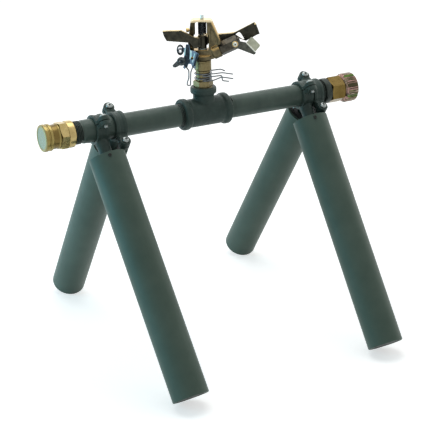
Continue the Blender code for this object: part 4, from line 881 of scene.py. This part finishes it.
for name, base, front, back in (
    ("lower", 39.05,
     [(35.0, -9.98, 2.3), (21.5, -9.98, 4.4), (11.5, -9.98, 0.4), (3, -9.98, 0)],
     [(3, 9.98, 3.15), (12, 10.2, 3.15), (22.5, 10.2, 4.35), (35.0, 10.2, 2.35)]),
    ("upper", 44.3,
     [(30.0, -12.0, -5.6), (22.3, -12.0, -4.6), (21.8, -12.0, 1.6), (12, -12.0, 0.6), (3, -10.2, 0)],
     [(3, 9.98, 3.15), (10, 9.4, 2.35), (20.9, 9.4, 3.55), (25.6, 9.4, 1.35)]),
):
    winding = []
    for degrees in range(0, 541, 10):
        turn = math.radians(degrees - 90)
        winding.append((COLLAR_R * math.cos(turn), COLLAR_R * math.sin(turn), COLLAR_PITCH * degrees / 360))
    path = [(x, y, base + z) for x, y, z in (*front, *winding, *back)]
    ring = place(bent_wire(f"{name}_collar_wire", path, WIRE, 1.8), HEAD)
    ring.data.materials.append(spring_steel)
    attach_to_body(ring, f"{name}_collar")
    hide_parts(f"{name}_collar")

# Sprinkler body
# A sand casting of bronze: the bearing seat at the foot, a bridge round the drive arm, a boss
# for the nozzle and a stub for the trip. Its tops and slanted edge have painted highlights and
# its left side painted shade.

UPRIGHT = Matrix.Rotation(math.radians(90), 4, "X")
JET_RISE = math.radians(24)
JET_HEIGHT = 64.8
NOZZLE = aim((0, 0, JET_HEIGHT), (math.cos(JET_RISE), 0, math.sin(JET_RISE)), (0, 0, 1))
TRIP = aim((-12.0, 0, 67.0), (0, -1, 0), (1, 0, 0))
PEG = aim((0, 0, 97.0), (-1, 0, 0))

body = slab("bridge_casting", [
    (8.5, 109.7), (11.3, 108.3), (18.2, 91.7), (20.9, 84.6), (20.1, 68.2), (12, 63.8), (-11, 63.8),
    (-14.5, 71.5), (-16.5, 83), (-13.2, 106.3), (-12.1, 108.5), (-9.6, 109.7),
], -6.7, 6.7)
window = slab("window", [
    (4.2, 107.3), (5.4, 106.1), (5.4, 93.8), (7.2, 91.8), (7.2, 74.5), (-9.7, 74.5), (-9.7, 91.8),
    (-8.0, 93.6), (-8.0, 105.8), (-6.6, 107.3),
], -9, 9)
merge(body, window, "DIFFERENCE")
for low, high in ((-9, -4.1), (4.1, 9)):
    in_web = [(9.6, 101.0), (11.6, 98.6), (17.8, 86.2), (16.8, 80.2), (9.6, 74.6)]
    in_wall = [(-14.0, 84), (-12.6, 101), (-11.2, 101), (-11.4, 78), (-13.2, 78)]
    merge(body, slab("web_hollow", in_web, low, high), "DIFFERENCE")
    merge(body, slab("wall_hollow", in_wall, low * 1.2, high * 1.2), "DIFFERENCE")
place(body, UPRIGHT)
merge(body, lathe("seat", [
    (9.9, 62.2), (11.4, 63.4), (11.6, 64.0), (11.6, 67.6), (11.2, 68.2), (10.6, 68.4),
]))
boss = lathe("nozzle_boss", [(7.9, 12.6), (8.4, 14.0), (8.4, 18.2), (8.4, 22.1)], 64)
merge(body, place(boss, NOZZLE))
stub = lathe("trip_stub", [(3.6, 3.0), (3.2, 7.4), (3.2, 11.0), (2.9, 11.2)], 48)
merge(body, place(stub, TRIP))
cast(body, 0.34, 3)
for tool in (
    place(lathe("spot_face", [(9.4, 22.1), (9.4, 40)]), NOZZLE),
    place(lathe("nozzle_bore", [(4.0, 0), (4.0, 14.1), (5.9, 14.1), (5.9, 41)], 64), NOZZLE),
    lathe("cavity", [(8.8, 50), (8.8, 68.0)]),
    lathe("pin_hole", [(1.9, 70.2), (1.9, 130)], 32),
    place(lathe("peg_hole", [(1.6, 5), (1.6, 30)], 32), PEG),
):
    merge(body, tool, "DIFFERENCE")
joined(body, place(lathe("trip_pin", [(1.6, 9.8), (1.6, 13.5), (1.2, 13.9)], 32), TRIP))
smooth(place(body, HEAD), 40)

# Where the painted highlights and the painted shade begin and end, in the frame's metres: two
# by height, one along the pipe, and one along the slant of the bridge's front edge.
CREST = (0.3785, 0.3794)
BROW = (0.354, 0.358)
REAR_WALL = (-0.011, -0.003)
SLOPE_AT = (0.1707, 0.1717)
SLOPE_OUT = 0.902
SLOPE_UP = 0.432

cast_bronze = finish(
    "bronze_with_painted_light", [(74, 69, 54), (114, 104, 78)], grain=(180, 6), gloss=(0.30, 0.50),
    gloss_grain=(320, 5), relief=[(0.06, 500, 4), (0.03, 1600, 2)], Metallic=1.0,
)
where = node(cast_bronze, "ShaderNodeTexCoord")
split = node(cast_bronze, "ShaderNodeSeparateXYZ", Vector=where.outputs["Object"])
along, height = split.outputs["X"], split.outputs["Z"]
facing_up = node(cast_bronze, "ShaderNodeSeparateXYZ", Vector=where.outputs["Normal"]).outputs["Z"]
slope = node(cast_bronze, "ShaderNodeVectorMath", Vector=where.outputs["Object"])
slope.operation = "DOT_PRODUCT"
slope.inputs[1].default_value = (SLOPE_OUT * math.cos(HEAD_YAW), SLOPE_OUT * math.sin(HEAD_YAW), SLOPE_UP)
# Painted shade darkens the casting's left side.
tint(cast_bronze, "MULTIPLY", 1.0, level(cast_bronze, along, *REAR_WALL, 0.38, 1.0))
# Painted highlight on the faces that look upward.
tint(cast_bronze, "MIX", level(cast_bronze, facing_up, 0.22, 0.5, 0.0, 0.75), srgb(196, 164, 104))
# Painted highlight along the bridge's slanted front edge, above the brow.
edge = level(cast_bronze, slope.outputs["Value"], *SLOPE_AT, 0.0, 1.0)
edge = mixed(cast_bronze, "MULTIPLY", 1.0, edge, level(cast_bronze, height, *BROW, 0.0, 0.9))
tint(cast_bronze, "MIX", edge, srgb(204, 174, 120))
# Painted highlight on the bridge's crest.
tint(cast_bronze, "MIX", level(cast_bronze, height, *CREST, 0.0, 1.0), srgb(222, 204, 166))
body.data.materials.append(cast_bronze)
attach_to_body(body, "head")
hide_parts("sprinkler_body")

# Fulcrum pin, washer, return spring and spring peg
# A steel pin with a shoulder head drops through the bridge and is the drive arm's pivot. A
# nylon washer lies under the hub, and the spring of blackened wire throws the arm back. A
# brass peg stands out of the bridge's back.

bright_steel = finish(
    "plated_pin_steel", [(176, 190, 190), (222, 232, 230)], grain=(700, 3), gloss=(0.14, 0.26),
    relief=[(0.008, 1500, 2, (0.3, 0.3, 3))], Metallic=1.0,
)
pin = lathe("fulcrum_pin_turned", [
    (1.3, 70.5), (1.6, 70.9), (1.6, 110.0), (2.1, 110.0), (2.3, 110.2), (2.3, 112.2), (2.05, 112.4),
    (2.05, 112.8), (2.3, 113.0), (2.3, 114.1), (2.0, 114.5), (1.4, 114.7), (0.5, 114.7),
], 48)
smooth(place(pin, HEAD), 30)
pin.data.materials.append(bright_steel)
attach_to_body(pin, "head")
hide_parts("fulcrum_pin")

nylon = finish(
    "natural_nylon", [(196, 212, 208), (224, 232, 228)], grain=(500, 3), gloss=(0.35, 0.5),
    relief=[(0.02, 500, 3)], Metallic=0.0,
)
washer = lathe("hub_washer", [
    (1.9, 75.8), (5.2, 75.8), (5.4, 75.6), (5.4, 75.0), (5.2, 74.8), (1.9, 74.8), (1.9, 75.8),
], 64)
smooth(place(washer, HEAD), 30)
washer.data.materials.append(nylon)
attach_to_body(washer, "head")
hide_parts("arm_washer")

black_wire = finish(
    "blackened_spring_wire", [(14, 16, 18), (40, 44, 48)], grain=(500, 4), gloss=(0.22, 0.36),
    relief=[(0.01, 2600, 2)], Metallic=0.6,
)
return_spring = coil("arm_return_spring", 4.35, 1.35, 1.55, 9.25, 92.0, math.pi / 2)
place(return_spring, HEAD)
return_spring.data.materials.append(black_wire)
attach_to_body(return_spring, "head")
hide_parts("arm_spring")

new_brass = finish(
    "bright_screw_brass", [(176, 142, 84), (214, 188, 136)], grain=(400, 4), gloss=(0.18, 0.3),
    relief=[(0.012, 1800, 2)], Metallic=1.0,
)
peg = lathe("brass_spring_peg", [
    (0.5, 18.45), (1.9, 18.45), (2.4, 18.2), (2.6, 17.8), (2.6, 15.3), (2.4, 15.1), (1.3, 15.1), (1.3, 8.4),
    (1.1, 8.2), (0.4, 8.2),
], 48)
smooth(place(peg, HEAD @ PEG), 30)
peg.data.materials.append(new_brass)
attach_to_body(peg, "head")
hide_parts("spring_peg")

# Nozzle
# A hexagon brass nozzle screwed into the boss, its bore tapered to the jet. Its brass is
# coloured a blotchy dark brown.

nozzle = hexagon("hexagon_nozzle", 8.2, 22.4, 44.8, 1.0)
merge(nozzle, lathe("nozzle_shank", [
    (5.0, 14.4), (5.1, 14.9), (5.1, 24), (6.0, 30), (6.0, 43), (4.6, 44.0), (4.6, 46.6), (4.2, 47.0),
], 64))
water_way = lathe("water_way", [(4.0, 10), (4.0, 20.4), (2.2, 43), (2.2, 46.2), (2.8, 48)], 48)
merge(nozzle, water_way, "DIFFERENCE")
edged(nozzle, 0.14)
joined(nozzle, thread("nozzle_thread", 5.05, 5.6, 1.2, 14.6, 22.0))
place(nozzle, NOZZLE)
FLAP_OUT = 37.6
FLAP = aim((FLAP_OUT, 0, JET_HEIGHT + FLAP_OUT * math.tan(JET_RISE)), (0, -1, 0), (1, 0, 0))
merge(nozzle, place(lathe("screw_hole", [(1.8, 4.6), (1.8, 20)], 32), FLAP), "DIFFERENCE")
smooth(place(nozzle, HEAD), 30)
dark_nozzle = finish(
    "dark_nozzle_brass", [(42, 40, 36), (78, 74, 64), (54, 50, 44)], grain=(150, 6),
    gloss=(0.26, 0.44), gloss_grain=(420, 4), relief=[(0.04, 150, 6), (0.02, 1500, 2)], Metallic=0.9,
)
nozzle.data.materials.append(dark_nozzle)
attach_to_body(nozzle, "head")
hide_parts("nozzle")

# Deflector flap and its screw
# Sheet steel, blanked and folded, turned on a brass screw in the nozzle's side. Its broad tab
# lies over the jet to break it up near the sprinkler.

FLAP_EYE = 4.6
FOLD_FROM = (12.3, 1.3)
FOLD_TO = (23.4, -10.4)

eye = []
for degrees in range(60, 251, 10):
    turn = math.radians(degrees)
    eye.append((FLAP_EYE * math.cos(turn), FLAP_EYE * math.sin(turn)))
flap = slab("folded_flap", [
    *eye, (3.6, -5.6), (21.3, -12.9), (22.9, -12.1), (23.7, -10.4), (12.5, 1.6),
], 7.4, 8.6)
merge(flap, lathe("flap_eye", [(1.8, 6), (1.8, 10)], 32), "DIFFERENCE")
fold = Vector((*FOLD_TO, 0)) - Vector((*FOLD_FROM, 0))
fold.normalize()
bend = math.radians(36)
across = -fold.cross(Vector((0, 0, 1))) * math.cos(bend) - Vector((0, 0, math.sin(bend)))
corner = Matrix((fold, across, fold.cross(across))).transposed().to_4x4()
tab_at = Matrix.Translation(Vector((*FOLD_FROM, 8.0)) * MM) @ corner
tab = slab("flap_tab", [
    (0.4, -0.5), (15.2, -0.5), (15.2, 9.6), (14.2, 10.8), (1.4, 10.8), (0.4, 9.6),
], -0.6, 0.6)
place(edged(tab, 0.16), tab_at)
edged(flap, 0.3)
flap_steel = finish(
    "plated_flap_steel", [(62, 64, 60), (96, 98, 90)], grain=(260, 5), gloss=(0.22, 0.38),
    relief=[(0.03, 700, 3, (1, 1, 0.2))], Metallic=0.9,
)
flap.data.materials.append(flap_steel)
# The tab is the same sheet as the flap; its paler colour is painted light.
painted_lit_tab_steel = finish(
    "tab_steel_painted_lit", [(158, 162, 142), (184, 188, 168)], grain=(200, 5), gloss=(0.28, 0.42),
    relief=[(0.01, 600, 3)], Metallic=0.7,
)
tab.data.materials.append(painted_lit_tab_steel)
# Near-white steel: a painted highlight on the lip along the fold, and the colour of the flap's pivot screw.
screw_and_fold_highlight = finish(
    "fold_highlight_and_screw_steel", [(222, 226, 210), (246, 248, 238)], grain=(200, 3), gloss=(0.25, 0.35),
    relief=[(0.01, 600, 3)], Metallic=0.5,
)
# The lip along the fold carries a painted highlight.
lip = slab("fold_lip", [(0.5, -0.7), (15.1, -0.7), (15.1, 1.0), (0.5, 1.0)], -0.8, 0.8)
place(edged(lip, 0.2), tab_at)
lip.data.materials.append(screw_and_fold_highlight)
smooth(place(joined(flap, tab, lip), HEAD @ FLAP), 30)
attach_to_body(flap, "deflector_flap")
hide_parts("deflector_flap")

flap_screw = dome_screw("flap_pivot_screw", 2.7, 1.9, 1.5, 4.0, 0.6, screw_and_fold_highlight)
collar = lathe("screw_collar", [
    (2.0, -0.2), (3.6, -0.2), (3.6, 0.3), (3.2, 0.7), (2.0, 0.7), (2.0, -0.2),
], 48)
collar.data.materials.append(new_brass)
joined(flap_screw, smooth(collar, 30))
place(flap_screw, HEAD @ FLAP @ shift(0, 0, 8.9))
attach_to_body(flap_screw, "head")
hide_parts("flap_screw")

# Drive arm
# One bronze casting: a hub on the pin, a weight on the near side and, on the far side, a bar
# with the spoon that the jet strikes. It is darker than the body, with a painted highlight on its upward
# faces.

arm = lathe("arm_casting", [(4.6, 76.1), (5.0, 76.5), (5.0, 90.5), (4.6, 91.0)], 64)
weight = slab("arm_weight", [
    (-45.2, 98.9), (-43.6, 93.0), (-40.6, 87.4), (-14, 84.9), (-9.4, 78.4), (-5.6, 78.4), (-4.6, 79.4),
    (-4.6, 89.6), (-11.4, 92.2), (-23.8, 99.4),
], 7.4, 13.0)
merge(arm, place(weight, UPRIGHT))
web = slab("near_web", [(-9.2, -10.2), (-2.4, -10.2), (-2.4, 0), (-9.2, 0)], 79.2, 89.4)
merge(arm, web)
bar = slab("arm_bar", [
    (1.0, 90.2), (1.0, 78.4), (8.0, 78.8), (24.0, 80.4), (36.0, 84.4), (38.0, 86.6), (38.0, 91.4),
    (33.0, 90.6), (19.0, 89.8),
], -13.0, -7.4)
merge(arm, place(bar, UPRIGHT))
merge(arm, slab("far_web", [(2.0, 0), (6.4, 0), (6.4, 10.2), (2.0, 10.2)], 79.2, 89.0))
spoon = slab("spoon_side", [
    (33.0, 87.5), (42.0, 84.5), (50.4, 81.3), (65.4, 89.3), (60.4, 103.3), (36.0, 91.0),
], -9.0, -7.4)
opening = slab("spoon_hole", [(38.4, 89.2), (42.4, 91.9), (44.4, 90.4), (48.6, 83.4), (46.4, 83.6)], -12, -4)
merge(spoon, opening, "DIFFERENCE")
merge(arm, place(spoon, UPRIGHT))
vane = slab("spoon_vane", [(0, -1.6), (12.4, -1.6), (12.4, 0.4), (0, 0.4)], 0, 8.5)
merge(arm, place(vane, aim((60.4, 0, 102.0), (0, 1, 0), (5, 0, -14))))
cast(arm, 0.36, 3)
merge(arm, lathe("arm_bore", [(1.9, 60), (1.9, 120)], 32), "DIFFERENCE")
smooth(place(arm, HEAD), 40)
arm_bronze = finish(
    "weathered_arm_bronze", [(38, 39, 34), (74, 71, 60)], grain=(160, 6), gloss=(0.30, 0.48),
    gloss_grain=(300, 5), relief=[(0.07, 450, 4), (0.03, 1600, 2)], Metallic=0.9,
)
facing = node(arm_bronze, "ShaderNodeTexCoord").outputs["Normal"]
facing_up = node(arm_bronze, "ShaderNodeSeparateXYZ", Vector=facing).outputs["Z"]
# Painted highlight on the faces that look upward.
tint(arm_bronze, "MIX", level(arm_bronze, facing_up, 0.5, 0.85, 0.0, 0.8), srgb(212, 190, 136))
arm.data.materials.append(arm_bronze)
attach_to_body(arm, "drive_arm")
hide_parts("drive_arm")

# Trip
# A chromed sheet lever turns on the body's stub. It carries a round hammer with a tongue, a
# coil of spring wire, and the hanging wire loop that the collars' arms push over.

SPOOL = aim((-25.3, 0, 76.4), (0, -1, 0), (1, 0, 0))
HAMMER = aim((-24.4, 0, 64.2), (0, -1, 0), (1, 0, 0))
EYES_Y = -14.2
EYES_Z = 57.0

lever = slab("trip_lever_plate", [
    (-24.4, 79.0), (-25.3, 79.8), (-27.8, 78.2), (-28.7, 76.4), (-27.8, 74.4), (-25.3, 73.0), (-20.6, 74.4),
    (-21.4, 68.0), (-26.0, 66.4), (-26.0, 62.0), (-21.8, 60.8), (-21.8, 55.2), (-18.0, 55.2), (-16.4, 60.0),
    (-13.2, 60.0), (-12.0, 55.2), (-8.4, 55.2), (-8.4, 58.0), (-4.2, 71.8), (-6.3, 73.6), (-14.2, 76.8),
    (-15.2, 83.2), (-18.9, 83.2), (-19.2, 79.4),
], 11.5, 12.7)
place(lever, UPRIGHT)
for left, right in ((-21.8, -20.5), (-9.7, -8.4)):
    ear = slab("lever_ear", [(left, -16.1), (right, -16.1), (right, -12.1), (left, -12.1)], 55.2, 58.8)
    merge(lever, ear)
for hole, at in (
    (lathe("spool_hole", [(1.7, 9), (1.7, 20)], 32), SPOOL),
    (lathe("pivot_hole", [(1.9, 9), (1.9, 20)], 32), TRIP),
    (lathe("wire_eyes", [(1.05, -30), (1.05, 0)], 24), aim((0, EYES_Y, EYES_Z), (1, 0, 0))),
):
    merge(lever, place(hole, at), "DIFFERENCE")
edged(lever, 0.16)
chrome = finish(
    "blue_lever_chrome", [(84, 108, 132), (122, 150, 174)], grain=(220, 4), gloss=(0.10, 0.22),
    relief=[(0.004, 800, 2)], Metallic=1.0,
)
dark_chrome = finish(
    "shaded_lever_chrome", [(26, 32, 38), (58, 70, 80)], grain=(260, 4), gloss=(0.14, 0.28),
    relief=[(0.004, 800, 2)], Metallic=1.0,
)
# Pale cyan chrome is a painted highlight on the lever's folded flanges.
highlight_lever_chrome = finish(
    "painted_highlight_lever_chrome", [(140, 204, 216), (206, 236, 240)], grain=(260, 4), gloss=(0.10, 0.2),
    relief=[(0.004, 800, 2)], Metallic=1.0,
)
lever.data.materials.append(chrome)
# The thin strips stand for the lever's folded flanges: the shaded ones are painted shade, the pale ones
# painted highlights.
SHADED = (dark_chrome, 12.5, 12.95)
PAINTED_HIGHLIGHT = (highlight_lever_chrome, 12.8, 13.3)
trim = []
for (metal, low, high), points in (
    (SHADED, [
        (-21.2, 74.8), (-19.2, 75.4), (-18.6, 82.8), (-15.7, 82.8), (-14.8, 76.8), (-14.4, 62.0),
        (-16.6, 60.4), (-18.2, 56.0), (-21.4, 56.0), (-21.4, 61.2), (-20.6, 67.0),
    ]),
    (PAINTED_HIGHLIGHT, [(-21.6, 70.6), (-20.0, 70.2), (-19.0, 79.6), (-20.0, 79.0)]),
    (PAINTED_HIGHLIGHT, [(-15.0, 66.0), (-12.6, 66.6), (-12.2, 76.0), (-14.0, 76.6)]),
    (SHADED, [(-6.0, 72.6), (-4.6, 71.2), (-8.6, 56.6), (-11.2, 56.6), (-9.4, 64.0)]),
    (PAINTED_HIGHLIGHT, [(-9.6, 73.0), (-8.2, 72.4), (-11.6, 62.0), (-12.4, 62.0)]),
):
    strip = edged(slab("lever_fold", points, low, high), 0.1)
    strip.data.materials.append(metal)
    trim.append(place(strip, UPRIGHT))
joined(lever, *trim)
spool = lathe("spring_spool", [
    (2.6, 11.9), (2.6, 17.9), (2.3, 18.2), (1.7, 18.2), (1.7, 11.9), (2.6, 11.9),
], 40)
hammer_pin = lathe("hammer_pin", [(1.8, 11.9), (1.8, 17.4), (1.4, 17.8), (0.3, 17.8)], 40)
bosses = (place(spool, SPOOL), place(hammer_pin, HAMMER))
for piece in bosses:
    piece.data.materials.append(dark_chrome)
smooth(place(joined(lever, *bosses), HEAD), 30)
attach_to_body(lever, "trip_lever")
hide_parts("trip_lever")

hammer = lathe("hammer_knob", [
    (2.1, 17.0), (3.6, 17.0), (4.4, 16.8), (5.0, 16.1), (5.0, 13.5), (4.7, 13.0), (2.1, 13.0), (2.1, 17.0),
], 64)
tongue = slab("hammer_tongue", [
    (-3.0, 2.6), (-10.2, -4.6), (-10.0, -6.0), (-9.2, -7.1), (-6.4, -7.2), (0.5, -3.6),
], 13.6, 15.2)
merge(tongue, lathe("tongue_hole", [(2.6, 12), (2.6, 18)], 40), "DIFFERENCE")
merge(hammer, tongue)
edged(hammer, 0.2)
smooth(place(hammer, HEAD @ HAMMER), 30)
dark_zinc = finish(
    "dark_hammer_zinc", [(34, 40, 42), (96, 104, 106)], grain=(260, 4), gloss=(0.18, 0.34),
    relief=[(0.02, 260, 4)], Metallic=0.9,
)
hammer.data.materials.append(dark_zinc)
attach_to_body(hammer, "trip_hammer")
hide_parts("trip_hammer")

trip_coil = coil("trip_return_spring", 4.1, WIRE, 1.75, 2.5, 13.6)
place(trip_coil, Matrix.Diagonal((0.86, 1.25, 1, 1)))
place(trip_coil, HEAD @ SPOOL @ shift(0, 1.2, 0))
trip_coil.data.materials.append(dark_zinc)
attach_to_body(trip_coil, "trip_lever")
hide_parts("trip_spring")

loop = bent_wire("hanging_trip_wire", [
    (x, EYES_Y, z) for x, z in (
        (-22.6, EYES_Z), (-18.9, EYES_Z), (-16.1, 53.0), (-16.3, 44.0), (-18.3, 38.6), (-18.3, 35.6),
        (-14.6, 35.0), (-14.3, 42.0), (-13.9, 51.0), (-11.6, EYES_Z), (-7.6, EYES_Z),
    )
], WIRE, 1.5)
place(loop, HEAD)
loop.data.materials.append(spring_steel)
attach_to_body(loop, "trip_wire")
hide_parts("trip_wire")

# Studio
# A pale floor that keeps the soft contact shadow, four soft boxes and a low panel of light,
# and the camera at the photograph's viewing angle with a long lens.

FLOOR_Z = -0.0004

bpy.ops.mesh.primitive_plane_add(size=12, location=(0, 0, FLOOR_Z))
floor = named("studio_floor")
floor_white = bpy.data.materials.new("floor_white")
floor_white.use_nodes = True
tree = floor_white.node_tree
tree.nodes.clear()
matt = node(floor_white, "ShaderNodeBsdfDiffuse", Color=(0.86, 0.86, 0.86, 1))
glow = node(floor_white, "ShaderNodeEmission", Color=(1, 1, 1, 1), Strength=0.60)
both = node(floor_white, "ShaderNodeAddShader")
tree.links.new(matt.outputs["BSDF"], both.inputs[0])
tree.links.new(glow.outputs["Emission"], both.inputs[1])


def sharp_rays(material):
    """One for what the camera sees straight on, in a mirror or through glass, else nought."""
    path = node(material, "ShaderNodeLightPath")
    both = node(material, "ShaderNodeMath")
    both.operation = "MAXIMUM"
    three = node(material, "ShaderNodeMath")
    three.operation = "MAXIMUM"
    link_to = material.node_tree.links.new
    link_to(path.outputs["Is Camera Ray"], both.inputs[0])
    link_to(path.outputs["Is Glossy Ray"], both.inputs[1])
    link_to(both.outputs["Value"], three.inputs[0])
    link_to(path.outputs["Is Transmission Ray"], three.inputs[1])
    return three.outputs["Value"]


pick = node(floor_white, "ShaderNodeMixShader", Fac=sharp_rays(floor_white))
tree.links.new(matt.outputs["BSDF"], pick.inputs[1])
tree.links.new(both.outputs["Shader"], pick.inputs[2])
node(floor_white, "ShaderNodeOutputMaterial", Surface=pick.outputs["Shader"])
floor.data.materials.append(floor_white)

room = bpy.data.worlds.new("room")
bpy.context.scene.world = room
room.use_nodes = True
room.node_tree.nodes.clear()
white = node(room, "ShaderNodeBackground", Color=(1, 1, 1, 1), Strength=1.0)
walls = node(room, "ShaderNodeBackground", Color=(0.95, 1.0, 0.97, 1), Strength=0.22)
pick = node(room, "ShaderNodeMixShader", Fac=sharp_rays(room))
room.node_tree.links.new(walls.outputs["Background"], pick.inputs[1])
room.node_tree.links.new(white.outputs["Background"], pick.inputs[2])
node(room, "ShaderNodeOutputWorld", Surface=pick.outputs["Shader"])

for name, at, look, size, power, colour in (
    ("soft_box_above", (0.1, 0.35, 1.75), (0, 0, 0.15), (1.6, 1.1), 12.5, (1, 1, 1)),
    ("soft_box_left", (-1.7, 0.5, 0.65), (0, 0, 0.15), (1.4, 1.3), 7.5, (0.10, 0.72, 1.0)),
    ("low_panel_left", (-0.75, 0.42, 0.16), (0, 0, 0.2), (0.7, 0.3), 1.3, (0.22, 0.80, 1.0)),
    ("soft_box_right", (1.6, 0.1, 0.75), (0, 0, 0.15), (1.2, 1.3), 5.5, (1, 0.98, 0.93)),
    ("soft_box_behind", (0.5, 1.9, 0.9), (0, 0, 0.2), (2.4, 1.2), 8, (1, 1, 1)),
):
    lamp = bpy.data.lights.new(name, "AREA")
    lamp.shape = "RECTANGLE"
    lamp.size, lamp.size_y = size
    lamp.energy = power
    lamp.color = colour
    box = bpy.data.objects.new(name, lamp)
    bpy.context.scene.collection.objects.link(box)
    box.location = at
    box.rotation_euler = (Vector(look) - Vector(at)).to_track_quat("-Z", "Y").to_euler()
    box.visible_camera = False

PHOTO_SIDE = 430
FOCAL_PIXELS = 1360.31
CENTRE_X = 216.07
CENTRE_DOWN = 0.73
FILM = 36
STAND_POINT = (-0.7213, -1.3558, 0.7185)

lens = bpy.data.cameras.new("camera")
lens.sensor_width = FILM
lens.lens = FOCAL_PIXELS / PHOTO_SIDE * FILM
lens.shift_x = (PHOTO_SIDE / 2 - CENTRE_X) / PHOTO_SIDE
lens.shift_y = CENTRE_DOWN / PHOTO_SIDE
lens.clip_start = 0.05
camera = bpy.data.objects.new("camera", lens)
bpy.context.scene.collection.objects.link(camera)
yaw, pitch, roll = (math.radians(v) for v in (-28.406, 20.623, -1.030))
right = Vector((math.cos(yaw), math.sin(yaw), 0))
up = Vector((-math.sin(yaw) * math.sin(pitch), math.cos(yaw) * math.sin(pitch), math.cos(pitch)))
back = right.cross(up)
across = math.cos(roll) * right + math.sin(roll) * up
tall = -math.sin(roll) * right + math.cos(roll) * up
turned = Matrix((across, tall, back)).transposed().to_4x4()
camera.matrix_world = Matrix.Translation(STAND_POINT) @ turned
bpy.context.scene.camera = camera
bpy.context.scene.view_settings.view_transform = "Standard"
